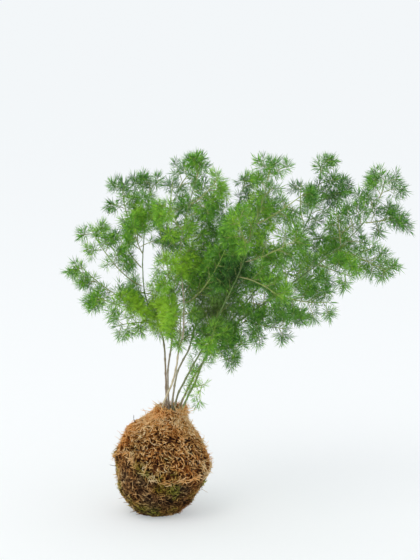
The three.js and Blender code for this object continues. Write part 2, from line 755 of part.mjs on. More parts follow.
add("binding_thread", bindingThread(), threadFinish);
for (const letter of Object.keys(CANE_ROUTES)) add("cane_" + letter, cane(letter), caneFinish);
add("soil_ball", soilBall(), soilFinish);
add("moss_lower", lowerMoss(), lowerMossFinish);
add("moss_upper", upperMoss(), upperMossFinish);
const numbers = {};
sprays().forEach((geometry, i) => {
  const letter = SPRAYS[i][0];
  numbers[letter] = (numbers[letter] ?? 0) + 1;
  add(`spray_${letter}${numbers[letter]}`, geometry, needleFinish);
});

export default kokedama;
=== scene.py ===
import bpy
import numpy as np
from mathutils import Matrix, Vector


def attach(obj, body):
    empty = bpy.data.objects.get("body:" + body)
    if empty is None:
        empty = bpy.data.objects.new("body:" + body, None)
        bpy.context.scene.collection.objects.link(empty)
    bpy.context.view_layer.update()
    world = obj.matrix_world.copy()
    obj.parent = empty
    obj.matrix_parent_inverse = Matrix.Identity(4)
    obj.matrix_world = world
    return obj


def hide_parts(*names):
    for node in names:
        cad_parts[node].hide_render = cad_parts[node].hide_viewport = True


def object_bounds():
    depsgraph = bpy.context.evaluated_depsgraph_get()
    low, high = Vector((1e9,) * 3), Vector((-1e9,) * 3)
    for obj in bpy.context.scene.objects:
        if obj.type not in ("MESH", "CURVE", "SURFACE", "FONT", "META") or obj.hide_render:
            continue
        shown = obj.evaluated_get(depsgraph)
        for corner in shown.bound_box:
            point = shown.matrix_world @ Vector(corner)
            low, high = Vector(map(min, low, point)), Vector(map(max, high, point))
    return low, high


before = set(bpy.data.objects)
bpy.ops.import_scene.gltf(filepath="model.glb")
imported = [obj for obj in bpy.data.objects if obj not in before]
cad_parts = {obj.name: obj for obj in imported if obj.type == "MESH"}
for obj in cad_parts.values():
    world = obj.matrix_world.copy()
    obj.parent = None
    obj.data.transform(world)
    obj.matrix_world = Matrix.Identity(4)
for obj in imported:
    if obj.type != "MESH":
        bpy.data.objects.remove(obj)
cad_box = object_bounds()

# ---- Camera ----
# A long lens looks along +Y and a little down, at a place in the left half of the crown. The plant's right
# end comes close to the picture's edge.
TARGET = np.array([0.0704, 0.0, 0.3173])
DISTANCE = 2.2
ELEVATION = np.radians(10)
LENS = 107.2
SIGHT = 500
camera_data = bpy.data.cameras.new("camera")
camera_data.lens = LENS
camera_data.clip_end = SIGHT
camera = bpy.data.objects.new("camera", camera_data)
camera.location = TARGET + DISTANCE * np.array([0, -np.cos(ELEVATION), np.sin(ELEVATION)])
camera.rotation_euler = (np.pi / 2 - ELEVATION, 0, 0)
bpy.context.collection.objects.link(camera)
bpy.context.scene.camera = camera

# ---- Studio ----
# A plain pale table that glows faintly, like a light table, and runs out of sight under an even white room.
# One large soft lamp stands high on the left, in front.
TABLE_REACH = 150
TABLE_SIDES = 64
TABLE_GLOW = 0.345
ROOM_LIGHT = 0.94
LAMP_PLACE = np.array([-1.0, -1.4, 2.6])
LAMP_AIM = np.array([0.05, 0, 0.25])
LAMP_POWER = 16
bpy.context.scene.view_settings.view_transform = "Standard"
room = bpy.data.worlds.new("room")
room.use_nodes = True
sky = room.node_tree.nodes["Background"]
sky.inputs["Color"].default_value = (0.975, 0.985, 1.0, 1)
sky.inputs["Strength"].default_value = ROOM_LIGHT
bpy.context.scene.world = room


def new_finish(name, **values):
    """A node material with values on its Principled BSDF's own sockets. Returns it, a function that adds a
    node to it, and a function that links a colour and bumps to its BSDF."""
    material = bpy.data.materials.new(name)
    material.use_nodes = True
    tree = material.node_tree
    shader = tree.nodes["Principled BSDF"]
    for socket, value in values.items():
        shader.inputs[socket.replace("_", " ")].default_value = value

    def node(kind, settings=None, **sources):
        """A further node. A source is a number or an output, for a socket's name or for _ and its place."""
        made = tree.nodes.new("ShaderNode" + kind)
        for key, value in (settings or {}).items():
            if key in made.inputs:
                made.inputs[key].default_value = value
            else:
                setattr(made, key, value)
        for key, source in sources.items():
            socket = made.inputs[int(key[1:]) if key[0] == "_" else key]
            if isinstance(source, bpy.types.NodeSocket):
                tree.links.new(source, socket)
            else:
                socket.default_value = source
        return made

    def show(colour, bumps=None):
        """Links a colour output and a bump node to the BSDF."""
        tree.links.new(colour, shader.inputs["Base Color"])
        if bumps is not None:
            tree.links.new(bumps.outputs["Normal"], shader.inputs["Normal"])

    return material, node, show


turn = np.linspace(0, 2 * np.pi, TABLE_SIDES, endpoint=False)
edge = TABLE_REACH * np.column_stack([np.cos(turn), np.sin(turn), 0 * turn])
table_mesh = bpy.data.meshes.new("table_top")
table_mesh.from_pydata(edge.tolist(), [], [list(range(TABLE_SIDES))])
table_top = bpy.data.objects.new("table_top", table_mesh)
bpy.context.collection.objects.link(table_top)
table_finish, _, _ = new_finish(
    "pale_table", Base_Color=(0.64, 0.64, 0.64, 1), Roughness=0.9, Specular_IOR_Level=0,
    Emission_Color=(0.90, 0.97, 1.0, 1), Emission_Strength=TABLE_GLOW,
)
table_mesh.materials.append(table_finish)

lamp_data = bpy.data.lights.new("soft_lamp", "AREA")
lamp_data.shape = "DISK"
lamp_data.size = 2.0
lamp_data.energy = LAMP_POWER
lamp_data.color = (1.0, 0.97, 0.92)
lamp = bpy.data.objects.new("soft_lamp", lamp_data)
lamp.location = LAMP_PLACE
aim = LAMP_AIM - LAMP_PLACE
tilt = np.arctan2(np.hypot(aim[0], aim[1]), -aim[2])
lamp.rotation_euler = (tilt, 0, np.arctan2(aim[1], aim[0]) - np.pi / 2)
bpy.context.collection.objects.link(lamp)

# ---- Soil ball ----
# Damp dark potting soil pressed into a ball. Only its low crumbly dome shows, in the mouth of the moss
# collar, where the canes come out of it.
BALL_HEIGHT = 143
BALL_RADIUS = 65
MOSS_THICKNESS = 9
COLLAR_THICKNESS = 4.5
BALL_PROFILE = [
    (0, 0.37), (0.03, 0.51), (0.08, 0.65), (0.17, 0.79), (0.25, 0.89), (0.35, 0.96), (0.45, 1), (0.55, 0.98),
    (0.63, 0.91), (0.73, 0.8), (0.81, 0.69), (0.87, 0.55), (0.92, 0.45), (0.965, 0.41), (1, 0.39),
]
RIM_LEAN = 18
BALL_LEAN = [(0, 0), (0.14, 1), (0.42, 6.5), (0.53, 6.5), (0.8, 4.5), (0.88, 8.5), (0.94, 15), (1, RIM_LEAN)]
SOIL_COLUMNS = 96
SOIL_CROWN = 140
SOIL_EDGE = 136
SOIL_SIDE_FOOT = 14
SOIL_BOTTOM = 10.3
SOIL_GAP = 1.5


def smoothstep(x, low, high):
    """3 t^2 - 2 t^3 of the share t of the way from low to high."""
    t = np.clip((x - low) / (high - low), 0, 1)
    return t * t * (3 - 2 * t)


def through(points, place):
    """Cubic Hermite curve through [place, value] points, with slopes taken from the neighbours of each
    point."""
    xs, ys = np.array(points, float).T
    before = np.maximum(np.arange(len(xs)) - 1, 0)
    after = np.minimum(np.arange(len(xs)) + 1, len(xs) - 1)
    slope = (ys[after] - ys[before]) / (xs[after] - xs[before])
    i = np.clip(np.searchsorted(xs, place, side="right") - 1, 0, len(xs) - 2)
    span = xs[i + 1] - xs[i]
    t = np.clip((place - xs[i]) / span, 0, 1)
    return (
        (1 + 2 * t) * (1 - t) ** 2 * ys[i]
        + t * (1 - t) ** 2 * span * slope[i]
        + t * t * (3 - 2 * t) * ys[i + 1]
        - t * t * (1 - t) * span * slope[i + 1]
    )


def ball_radius(z):
    """Radius of the moss at height z, both in mm: the profile's share of the widest radius."""
    return BALL_RADIUS * through(BALL_PROFILE, z / BALL_HEIGHT)


def drawn_in(z):
    """What is left of the radius where the collar is drawn in round the canes: all at 122 mm, 4/5 at the
    rim."""
    return 1 - 0.2 * smoothstep(z, 122, BALL_HEIGHT)


def inside_radius(z):
    """Radius of the soil side of the moss: the outside less a thickness that thins from 9 to 4.5 mm at the
    collar."""
    thickness = MOSS_THICKNESS + (COLLAR_THICKNESS - MOSS_THICKNESS) * smoothstep(z, 105, 135)
    return (ball_radius(z) - thickness) * drawn_in(z)


def on_ball(angle, z, radius):
    """(lean + r cos a, r sin a, z), where the ball's middle leans towards +X with height."""
    lean = through(BALL_LEAN, z / BALL_HEIGHT)
    return np.stack(np.broadcast_arrays(lean + radius * np.cos(angle), radius * np.sin(angle), z), axis=-1)


def ripple(points, size, seed):
    """A smooth random field, mostly from -1 to 1: ten seeded sine waves of one length, added up."""
    rng = np.random.default_rng(seed)
    ways = rng.normal(size=(10, 3))
    ways *= 2 * np.pi / size / np.linalg.norm(ways, axis=1, keepdims=True)
    return np.sin(points @ ways.T + rng.uniform(0, 2 * np.pi, 10)).sum(axis=-1) / 3.2


def make_piece(name, points, triangles, marks, finish, slot_name, *nodes):
    """One closed mesh from points in mm and an array of triangles, with a number for each point in each
    mark."""
    mesh = bpy.data.meshes.new(name)
    mesh.vertices.add(len(points))
    mesh.vertices.foreach_set("co", (np.asarray(points) / 1000).astype(np.float32).ravel())
    mesh.loops.add(3 * len(triangles))
    mesh.loops.foreach_set("vertex_index", np.asarray(triangles, np.int32).ravel())
    mesh.polygons.add(len(triangles))
    mesh.polygons.foreach_set("loop_start", np.arange(0, 3 * len(triangles), 3, dtype=np.int32))
    mesh.polygons.foreach_set("use_smooth", np.ones(len(triangles), bool))
    for mark, values in marks.items():
        layer = mesh.attributes.new(mark, "FLOAT", "POINT")
        layer.data.foreach_set("value", np.asarray(values, np.float32))
    mesh.update()
    mesh.validate()
    mesh.materials.append(finish)
    piece = bpy.data.objects.new(name, mesh)
    bpy.context.collection.objects.link(piece)
    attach(piece, "root")
    if nodes:
        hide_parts(*nodes)


def walls(low, high):
    """Triangles between rings of point numbers and the rings next to them, closed round each ring."""
    a, b, c, d = low, np.roll(low, -1, axis=1), np.roll(high, -1, axis=1), high
    return [np.stack([a, b, c], axis=-1).reshape(-1, 3), np.stack([a, c, d], axis=-1).reshape(-1, 3)]


def caps(rings, pole):
    """Triangles from the first ring of point numbers to the point pole, and from the last to the next."""
    first, last = rings[0], rings[-1]
    return [
        np.stack([np.roll(first, -1), first, np.full(len(first), pole)], axis=-1),
        np.stack([last, np.roll(last, -1), np.full(len(last), pole + 1)], axis=-1),
    ]


def skin(grid, first_pole=None, last_pole=None):
    """Triangles of a surface on a rings by columns grid, closed round its columns. A pole closes an end of
    it, and with no poles the last ring is joined to the first. Returns points and triangles."""
    rings, columns = grid.shape[:2]
    index = np.arange(rings * columns).reshape(rings, columns)
    points = grid.reshape(-1, 3)
    if first_pole is None:
        return points, np.vstack(walls(index, np.roll(index, -1, axis=0)))
    faces = walls(index[:-1], index[1:]) + caps(index, len(points))
    return np.vstack([points, first_pole, last_pole]), np.vstack(faces)


def object_place(node):
    """Where a point is on its object."""
    return node("TexCoord").outputs["Object"]


def noise(node, place, scale, detail, roughness=0.5):
    """Fractal noise from 0 to 1 at a place."""
    settings = {"Scale": scale, "Detail": detail, "Roughness": roughness}
    return node("TexNoise", settings, Vector=place).outputs["Fac"]


def mark_value(node, mark):
    """The number that make_piece gave each point in a mark."""
    return node("Attribute", {"attribute_name": mark}).outputs["Fac"]


def ramp(node, source, stops):
    """The colour that a number picks from (place, (r, g, b)) stops."""
    made = node("ValToRGB", Fac=source)
    elements = made.color_ramp.elements
    while len(elements) < len(stops):
        elements.new(0.5)
    for element, (place, colour) in zip(elements, stops):
        element.position = place
        element.color = (*colour, 1)
    return made.outputs["Color"]


def mix(node, share, first, second, way="MIX"):
    """The first colour, with a share of the second mixed into it in a way."""
    settings = {"data_type": "RGBA", "blend_type": way}
    return node("Mix", settings, _0=share, _6=first, _7=second).outputs[2]


def multiply_add(node, number, factor, added):
    """number * factor + added."""
    return node("Math", {"operation": "MULTIPLY_ADD"}, _0=number, _1=factor, _2=added).outputs[0]


soil_finish, node, show = new_finish("damp_soil", Roughness=0.95, Specular_IOR_Level=0.2)
crumbs = noise(node, object_place(node), 260, 8, 0.7)
dark = ramp(node, crumbs, [
    (0.3, (0.010, 0.006, 0.004)), (0.55, (0.035, 0.021, 0.012)), (0.75, (0.09, 0.055, 0.03)),
])
show(dark, node("Bump", {"Strength": 0.8, "Distance": 0.0015}, Height=crumbs))

soil_angle = np.linspace(0, 2 * np.pi, SOIL_COLUMNS, endpoint=False)[None, :]
side_height = np.linspace(SOIL_SIDE_FOOT, SOIL_EDGE, 50)[:, None]
sides = on_ball(soil_angle, side_height, inside_radius(side_height) - SOIL_GAP)
share = np.linspace(0.93, 0.07, 14)[:, None]
dome_height = SOIL_CROWN - (SOIL_CROWN - SOIL_EDGE) * share**2
dome = on_ball(soil_angle, dome_height, share * (inside_radius(np.array(float(SOIL_EDGE))) - SOIL_GAP))
soil_grid = np.vstack([sides, dome])
crumble = np.maximum(ripple(soil_grid, 3.1, 1), -0.4) + 0.6 * ripple(soil_grid, 1.7, 2)
soil_grid[..., 2] += 0.7 * crumble * smoothstep(soil_grid[..., 2], 130, 137)
soil_points, soil_faces = skin(soil_grid, [0, 0, SOIL_BOTTOM], [RIM_LEAN, 0, SOIL_CROWN])
make_piece("soil", soil_points, soil_faces, {}, soil_finish, "soil", "soil_ball")

# ---- Moss mats ----
# Two mats of sphagnum moss pulled round the soil. Each is a dense felt of broken dark stems, with painted
# shade in its hollows, that thousands of curly dry strands grow out of. The upper mat laps over the lower
# one.
LAP = 1.2
FOOT_PILE_DEPTH = 3.0
PILE_DEPTH = 5.0
COLLAR_PILE_DEPTH = 2.2
# Height in mm on the ball, and the depth in mm of the strands that stand on the felt there.
PILE = [
    (0, 0), (12, FOOT_PILE_DEPTH), (45, FOOT_PILE_DEPTH), (80, PILE_DEPTH), (105, PILE_DEPTH),
    (132, COLLAR_PILE_DEPTH), (150, COLLAR_PILE_DEPTH),
]
MAT_COLUMNS = 150
FELT_SINK = 0.4
STRAND_FLOOR = 1.25
CLUMP_SIZE = 12
MOTTLE = 0.3


def seam_height(angle):
    """Height in mm of the upper mat's lower edge: a tilted wave with one and two crests round the ball."""
    return 62 + 12 * np.cos(angle + np.radians(150)) + 10 * np.cos(2 * (angle + np.radians(143)))


# Where the mats' loose strands part, above the seam of the felts under them: angle in degrees, height in mm.
FRINGE = [
    (-180, 0), (-150, 4), (-138, 5), (-131, 1), (-120, -6.5), (-94, -9), (-76, -2), (-58, 7), (-40, 9.5),
    (-10, 6), (30, 0), (180, 0),
]


def fringe_height(angle):
    """Height in mm where the upper mat's strands end and the lower's begin: up to 9.5 mm off the seam."""
    return seam_height(angle) + through(FRINGE, (np.degrees(angle) + 180) % 360 - 180)


def lumps(angle, z):
    """Low rounded lumps in mm: three products of sines of the angle and the height."""
    return (
        1.1 * np.sin(3 * angle + z / 19 + 0.7) * np.cos(2 * angle - z / 13)
        + 0.8 * np.sin(7 * angle - z / 9)
        + 0.5 * np.sin(11 * angle + z / 6 + 2)
    )


def moss_radius(angle, z):
    """Radius of the moss's felt: the lumpy profile less the depth of the strands that stand on it, stepped
    out above the seam and in below it, and drawn in round the canes at the top."""
    above = z - seam_height(angle)
    lap = np.where(above > 0, 1 - smoothstep(above, 25, 70), -1) * LAP
    return (ball_radius(z) - through(PILE, z) + lumps(angle, z)) * drawn_in(z) + lap


def level_out(angle, z):
    """Level vectors 1 mm long straight out of the ball at each angle, on the grid of z."""
    return on_ball(angle, 0 * z, 1 + 0 * z) - on_ball(angle, 0 * z, 0 * z)


def tubes(paths, radii, sides, flat=1):
    """Closed thin tubes on a tubes by stations grid of points: rings square to each path, flat times as thick
    as they are wide, whose first and last stations are points. Returns points, triangles, the tube that each
    point belongs to and its share of the way along it."""
    count, stations = paths.shape[:2]
    along = np.gradient(paths, axis=1)
    along /= np.linalg.norm(along, axis=-1, keepdims=True) + 1e-12
    leaning = np.where(np.abs(along[:, :1, 2:]) < 0.8, [[[0, 0, 1.0]]], [[[1.0, 0, 0]]])
    side = np.cross(along, leaning)
    side /= np.linalg.norm(side, axis=-1, keepdims=True) + 1e-12
    across = np.cross(along, side)
    turn = np.arange(sides) * 2 * np.pi / sides
    rings = slice(1, stations - 1)
    spread = np.cos(turn)[:, None] * side[:, rings, None, :]
    spread = spread + flat * np.sin(turn)[:, None] * across[:, rings, None, :]
    body = paths[:, rings, None, :] + radii[:, rings, None, None] * spread
    each = (stations - 2) * sides + 2
    points = np.concatenate([body.reshape(count, -1, 3), paths[:, :1], paths[:, -1:]], axis=1)
    ring = np.arange((stations - 2) * sides).reshape(-1, sides)
    faces = np.vstack(walls(ring[:-1], ring[1:]) + caps(ring, each - 2))
    triangles = (faces[None] + each * np.arange(count)[:, None, None]).reshape(-1, 3)
    station = np.concatenate([np.repeat(np.arange(1, stations - 1), sides), [0, stations - 1]])
    share = np.tile(station / (stations - 1), count)
    return points.reshape(-1, 3), triangles, np.repeat(np.arange(count), each), share


# Along the outside of the ball from the foot's edge: the way gone, the height and the radius there.
profile_height = np.linspace(0, BALL_HEIGHT, 500)
profile_steps = np.hypot(np.diff(profile_height), np.diff(ball_radius(profile_height)))
profile_way = np.concatenate([[0], np.cumsum(profile_steps)])
WAY_TO_RIM = profile_way[-1]


def height_on(way):
    """Height at a way gone up the outside of the ball, which goes on straight up past the rim."""
    return np.interp(way, profile_way, profile_height) + np.maximum(way - WAY_TO_RIM, 0)


def way_to_fringe(angle):
    """Way up the outside of the ball to where the two mats' loose strands part."""
    return np.interp(fringe_height(angle), profile_height, profile_way)


def grow_on_ball(angle, way, heading, curl, length, root, arch, rise, stations):
    """Paths of strands on the ball, and their heights over the felt. A strand sets out from an angle and a
    way up the ball in a heading that turns by curl on the way, and its height over the felt goes from root by
    an arch to rise at its tip. Lengths are in mm."""
    t = np.linspace(0, 1, stations)
    heading_at = heading[:, None] + curl[:, None] * (t[1:] - 0.5 / (stations - 1)) * (1 + 0.6 * t[1:])
    step = length[:, None] / (stations - 1)
    gone_up = np.cumsum(np.sin(heading_at) * step, axis=1)
    gone_round = np.cumsum(np.cos(heading_at) * step, axis=1)
    way_at = way[:, None] + np.concatenate([np.zeros((len(way), 1)), gone_up], axis=1)
    turned = np.concatenate([np.zeros((len(way), 1)), gone_round], axis=1)
    angle_at = angle[:, None] + turned / moss_radius(angle, height_on(way))[:, None]
    z = height_on(np.maximum(way_at, 0))
    clump = 1 + 0.55 * ripple(on_ball(angle, height_on(way), 60), CLUMP_SIZE, 51)[:, None]
    lift = root[:, None] + clump * (arch[:, None] * np.sin(np.pi * t) + rise[:, None] * t**2)
    radius = moss_radius(angle_at, np.minimum(z, BALL_HEIGHT)) + lift
    paths = on_ball(angle_at, z, radius)
    paths[..., 2] = np.maximum(paths[..., 2], STRAND_FLOOR)
    return paths, lift


def strand_band(rng, angle, way, heading, curl, length, root, arch, rise, thick, own, flat, stations):
    """A band of strands from grow_on_ball. After heading, rng draws each number evenly between two ends.
    Returns the paths, their heights over the felt, and each strand's radius, own shade and flatness."""
    count = len(angle)
    drawn = [rng.uniform(*ends, count) for ends in (curl, length, root, arch, rise)]
    paths, lift = grow_on_ball(angle, way, heading, *drawn, stations)
    return paths, lift, rng.uniform(*thick, count), rng.uniform(*own, count), flat


# Places where living green moss has come through: angle in degrees from +X, height in mm, spread in mm,
# strength.
GREEN_PATCHES = [
    (-118, 77, 8, 1.3), (-108, 70, 7, 1.1), (-92, 66, 6, 1.1), (-76, 68, 6, 1.1), (-90, 50, 8, 1.0),
    (-74, 47, 10, 1.2), (-66, 38, 8, 0.8), (-95, 10, 13, 0.8), (-120, 16, 12, 0.8), (-140, 26, 9, 0.6),
    (-172, 62, 10, 0.9), (-166, 38, 11, 1.0), (-60, 14, 10, 0.6), (-4, 47, 9, 1.2), (-8, 27, 11, 1.1),
    (178, 82, 7, 1.2), (-162, 14, 9, 0.8), (-83, 88, 5, 0.5), (-36, 34, 7, 0.6), (150, 60, 14, 0.7),
    (110, 34, 14, 0.9), (60, 50, 13, 0.8), (85, 18, 13, 0.7), (20, 38, 13, 0.8), (175, 24, 13, 0.7),
    (130, 92, 9, 0.4), (-132, 98, 6, 0.4),
]


def greenness(points):
    """How green the moss is at points: the strongest of the patches, each falling off like exp(-d^2)."""
    angle, height, spread, strength = np.array(GREEN_PATCHES, float).T
    angle = np.radians(angle)
    centres = on_ball(angle, height, moss_radius(angle, height))
    d = np.linalg.norm(points[:, None, :] - centres, axis=-1) / spread
    return (strength * np.exp(-(d**2))).max(axis=1)


def moss_finish(name, stops, green_stops):
    """Dry moss: the mark shade picks the strand's colour from dark stem to pale tip, green mixes in living
    moss, and fine noise along the strands makes them leafy."""
    material, node, show = new_finish(name, Roughness=0.9, Specular_IOR_Level=0.08)
    place = object_place(node)
    mottle = noise(node, place, 900, 3, 0.6)
    shade, green = mark_value(node, "shade"), mark_value(node, "green")
    varied = multiply_add(node, mottle, MOTTLE, shade)
    evened = node("Math", {"operation": "SUBTRACT"}, _0=varied, _1=MOTTLE / 2).outputs[0]
    mixed = mix(node, green, ramp(node, evened, stops), ramp(node, evened, green_stops))
    rust = ramp(node, noise(node, place, 34, 2), [(0.42, (1, 1, 1)), (0.66, (1.0, 0.74, 0.5))])
    rusted = mix(node, 1, mixed, rust, "MULTIPLY")
    show(rusted, node("Bump", {"Strength": 0.5, "Distance": 0.0005}, Height=mottle))
    return material


def strand_radii(share, thickness):
    """Radius along a strand: widest a little before its middle, and just over half of that by its ends."""
    return thickness[:, None] * (0.55 + 1.9 * share * (1 - share) ** 1.3)[None, :]


# ---- Upper moss ----
# The upper mat, dry and sunbleached: tan and rust strands that curl in all directions, painted shade in
# hollows between them, and a ragged collar that stands up round the canes.
rng = np.random.default_rng(11)
upper_angle = np.linspace(0, 2 * np.pi, MAT_COLUMNS, endpoint=False)[None, :]
up_share = np.linspace(0, 1, 46)[:, None]
upper_z = seam_height(upper_angle) + (BALL_HEIGHT - 1 - seam_height(upper_angle)) * up_share
upper_out = on_ball(upper_angle, upper_z, moss_radius(upper_angle, upper_z + 0.01) - FELT_SINK)
felt = 1.1 * ripple(upper_out, 11, 21) + 0.7 * ripple(upper_out, 6, 22)
felt = felt * smoothstep(up_share, 0, 0.05) * (1 - smoothstep(up_share, 0.6, 0.85))
upper_out += felt[..., None] * level_out(upper_angle, upper_z)
down_share = np.linspace(1, 0, 24)[:, None]
down_z = seam_height(upper_angle) + (BALL_HEIGHT - 2 - seam_height(upper_angle)) * down_share
upper_in = on_ball(upper_angle, down_z, inside_radius(down_z))
felt_points, felt_faces = skin(np.vstack([upper_out, upper_in]))

bands = []
# Matted strands that cover the felt, leafy flakes that stand up, fine long strands, and shaggy ones.
for count, sizes, turns, arches, rises, thick, flat, stations in (
    (2900, (5, 10.5), 1.7, (0.6, 2.6), (-1.4, 2.2), (0.55, 0.95), 1, 5),
    (2800, (3.5, 7.5), 1.2, (0.2, 1.8), (2.2, 6.4), (0.7, 1.25), 0.45, 5),
    (320, (10, 19), 2.4, (1.6, 4.8), (-1.0, 7.0), (0.28, 0.42), 1, 6),
    (520, (6, 11), 1.4, (0.5, 2.0), (4.5, 8.5), (0.5, 0.9), 0.5, 5),
):
    angle = rng.uniform(0, 2 * np.pi, count)
    seam_way = way_to_fringe(angle)
    way = seam_way + (WAY_TO_RIM - seam_way) * rng.uniform(0, 1, count) ** 0.94
    heading = rng.uniform(0, 2 * np.pi, count)
    bands.append(strand_band(
        rng, angle, way, heading, curl=(-turns, turns), length=sizes, root=(-1.2, 0.6), arch=arches,
        rise=rises, thick=thick, own=(0, 1), flat=flat, stations=stations,
    ))

# The collar's fringe stands up and out of the rim.
count = 640
angle = rng.uniform(0, 2 * np.pi, count)
way = WAY_TO_RIM - rng.uniform(0, 17, count)
heading = rng.normal(np.pi / 2, 1.0, count)
drawn = [rng.uniform(*ends, count) for ends in ((-1.3, 1.3), (5, 12), (-3.5, 0), (-1.5, 1.5))]
paths, lift = grow_on_ball(angle, way, heading, *drawn, rng.normal(3.0, 3.8, count), 5)
# Its heights over the felt count 4 mm more in its shade, so the painted light makes the fringe paler.
bands.append((paths, lift + 4, rng.uniform(0.55, 0.95, count), rng.uniform(0.1, 1, count), 0.5))
# Pale rootlets run along the upper mat's lower edge, where it laps over the lower one.
count = 460
angle = rng.uniform(0, 2 * np.pi, count)
seam_way = way_to_fringe(angle)
downhill = np.arctan2(fringe_height(angle + 0.05) - fringe_height(angle - 0.05), 0.1 * BALL_RADIUS)
way = seam_way + rng.normal(1.5, 1.6, count)
heading = downhill + rng.choice([0, np.pi], count) + rng.normal(0, 0.45, count)
bands.append(strand_band(
    rng, angle, way, heading, curl=(-1.2, 1.2), length=(6, 14), root=(0.8, 2.6), arch=(0.6, 2.4),
    rise=(0, 2.4), thick=(0.3, 0.56), own=(0.65, 1.25), flat=1, stations=6,
))


# Hollows where the strands get painted shade: angle in degrees, height and spread in mm.
SHADED_HOLLOWS = [
    (-95, 118, 8), (-76, 112, 6), (-66, 110, 5), (-104, 104, 5), (-142, 96, 6), (-35, 104, 6), (-38, 88, 6),
    (-20, 84, 5), (-41, 70, 7), (-62, 76, 5), (-86, 86, 5), (-76, 137, 6), (-100, 138, 5), (30, 90, 8),
    (80, 105, 7), (140, 80, 8), (-10, 100, 6), (115, 60, 7), (-116, 46, 9), (-128, 34, 8), (-100, 32, 7),
    (-76, 28, 7), (-54, 27, 6), (-142, 60, 7), (-112, 62, 5), (-30, 45, 7), (-150, 108, 5), (-162, 95, 5),
    (-148, 86, 5), (176, 90, 5), (-172, 106, 4), (160, 40, 8), (50, 30, 9), (100, 50, 8), (15, 55, 8),
]


def patchy_shade(points, own, seed, spread):
    """Shade of strands at their middles: broad patches, small clumps, painted shade in hollows and near the
    foot, bleached at the collar, painted light high on the right and low on the left, and each strand's own
    chance."""
    angle, height, reach = np.array(SHADED_HOLLOWS, float).T
    angle = np.radians(angle)
    centres = on_ball(angle, height, moss_radius(angle, height))
    d = np.linalg.norm(points[:, None, :] - centres, axis=-1) / reach
    # Painted shade: strands near the hollows are darkened.
    painted_hollow_shade = np.exp(-(d**2)).max(axis=1)
    broad, middling, small = (0.45 * ripple(points, size, seed + k) for k, size in enumerate((46, 15, 8)))
    patch = broad + middling + small
    # Paler at the collar, where the moss is bleached, and darker near the foot, which is painted shade under
    # the ball.
    height = 0.3 * smoothstep(points[:, 2], 105, 138) - 0.14 * (1 - smoothstep(points[:, 2], 0, 45))
    high = smoothstep(points[:, 2], 50, 80)
    # Painted light: the strands are paler high on the right and low on the left.
    painted_side_light = 0.2 * high * smoothstep(points[:, 0], 15, 50)
    painted_side_light += (0.24 - 0.2 * high) * smoothstep(-points[:, 0], 0, 40)
    return 0.29 + 0.17 * patch - 0.38 * painted_hollow_shade + height + painted_side_light + spread * (own - 0.5)


def join_parts(parts):
    """Puts (points, triangles, marks) parts into one, counting the triangles' points on."""
    offsets = np.cumsum([0] + [len(points) for points, _, _ in parts[:-1]])
    points = np.vstack([points for points, _, _ in parts])
    triangles = np.vstack([faces + offset for (_, faces, _), offset in zip(parts, offsets)])
    marks = {mark: np.concatenate([marks[mark] for _, _, marks in parts]) for mark in parts[0][2]}
    return points, triangles, marks


def strand_part(paths, lift, thickness, own, flat, seed, spread):
    """The mesh of a band of strands with their marks: painted light makes it paler the further it stands off
    the felt, green where living moss shows."""
    share = np.linspace(0, 1, paths.shape[1])
    points, faces, tube, along = tubes(paths, strand_radii(share, thickness), 3, flat)
    middle = paths[:, paths.shape[1] // 2]
    station = np.round(along * (paths.shape[1] - 1)).astype(int)
    # Painted light and shade: a strand is paler the higher it stands off the felt and darker deep in it.
    shade = patchy_shade(middle, own, seed, spread)[tube] + 0.095 * np.clip(lift[tube, station], -1, 6)
    green = 0.8 * greenness(middle) * (0.6 + 1.2 * ((own * 7.3) % 1))
    return points, faces, {"shade": shade, "green": np.clip(green, 0, 1)[tube]}


def felt_part(points, faces, seed, contrast):
    """The mesh of a felt with its marks: dark stems in blots, with no green."""
    return points, faces, {"shade": 0.08 + contrast * ripple(points, 9, seed), "green": 0 * points[:, 0]}


# Depth in mm of a loose end's root in the felt, and the length of it that the strands round it hide.
LOOSE_ROOT = 3
LOOSE_HIDDEN = 6.5


def loose_part(rows):
    """The mesh of single loose ends that stick out. A row holds the angle round the ball in degrees, the
    height in mm, the tilt up from level in degrees, then length, bend up and thickness in mm, and shade."""
    angle, height, tilt, length, bend, thickness, shade = np.array(rows, float).T[..., None]
    angle, tilt = np.radians(angle), np.radians(tilt)
    t = np.linspace(0, 1, 7)[None, :]
    way = (length + LOOSE_HIDDEN) * t
    paths = on_ball(angle, height + 0 * t, moss_radius(angle, height) - LOOSE_ROOT + way * np.cos(tilt))
    paths[..., 2] += way * np.sin(tilt) + bend * t**2
    paths[..., 0] += 1.2 * np.sin(5 * t + height)
    points, faces, tube, _ = tubes(paths, thickness * (1 - 0.5 * t), 5)
    return points, faces, {"shade": shade[tube, 0], "green": 0 * points[:, 0]}


upper_parts = [felt_part(felt_points, felt_faces, seed=31, contrast=0.12)]
upper_parts += [strand_part(*band, seed=33, spread=0.68) for band in bands]
upper_parts.append(loose_part([
    (183, 62, 12, 9, 1, 0.5, 0.06), (180, 66, 50, 8, 2, 0.4, 0.06), (0, 60, 30, 8, -2, 0.2, 1.0),
    (-20, 141, 34, 15, -7, 0.6, 0.85), (-34, 139, 22, 14, -4, 0.5, 0.8), (-8, 138, 12, 15, 1, 0.55, 0.8),
    (182, 138, 2, 14, 3, 0.55, 0.8), (194, 141, 26, 11, -3, 0.45, 0.9), (200, 142, 55, 9, -2, 0.4, 0.8),
    (172, 130, 55, 9, 0, 0.4, 0.7), (184, 122, 70, 8, 0, 0.6, 0.05), (186, 104, 20, 11, 5, 0.3, 0.7),
    (178, 98, 8, 10, 4, 0.3, 0.8), (-4, 118, 60, 9, -1, 0.4, 0.7), (4, 84, 50, 9, 2, 0.35, 0.8),
    (60, 120, 40, 10, 2, 0.4, 0.8), (95, 70, 10, 9, 2, 0.35, 0.6), (130, 136, 25, 12, -2, 0.5, 0.8),
]))
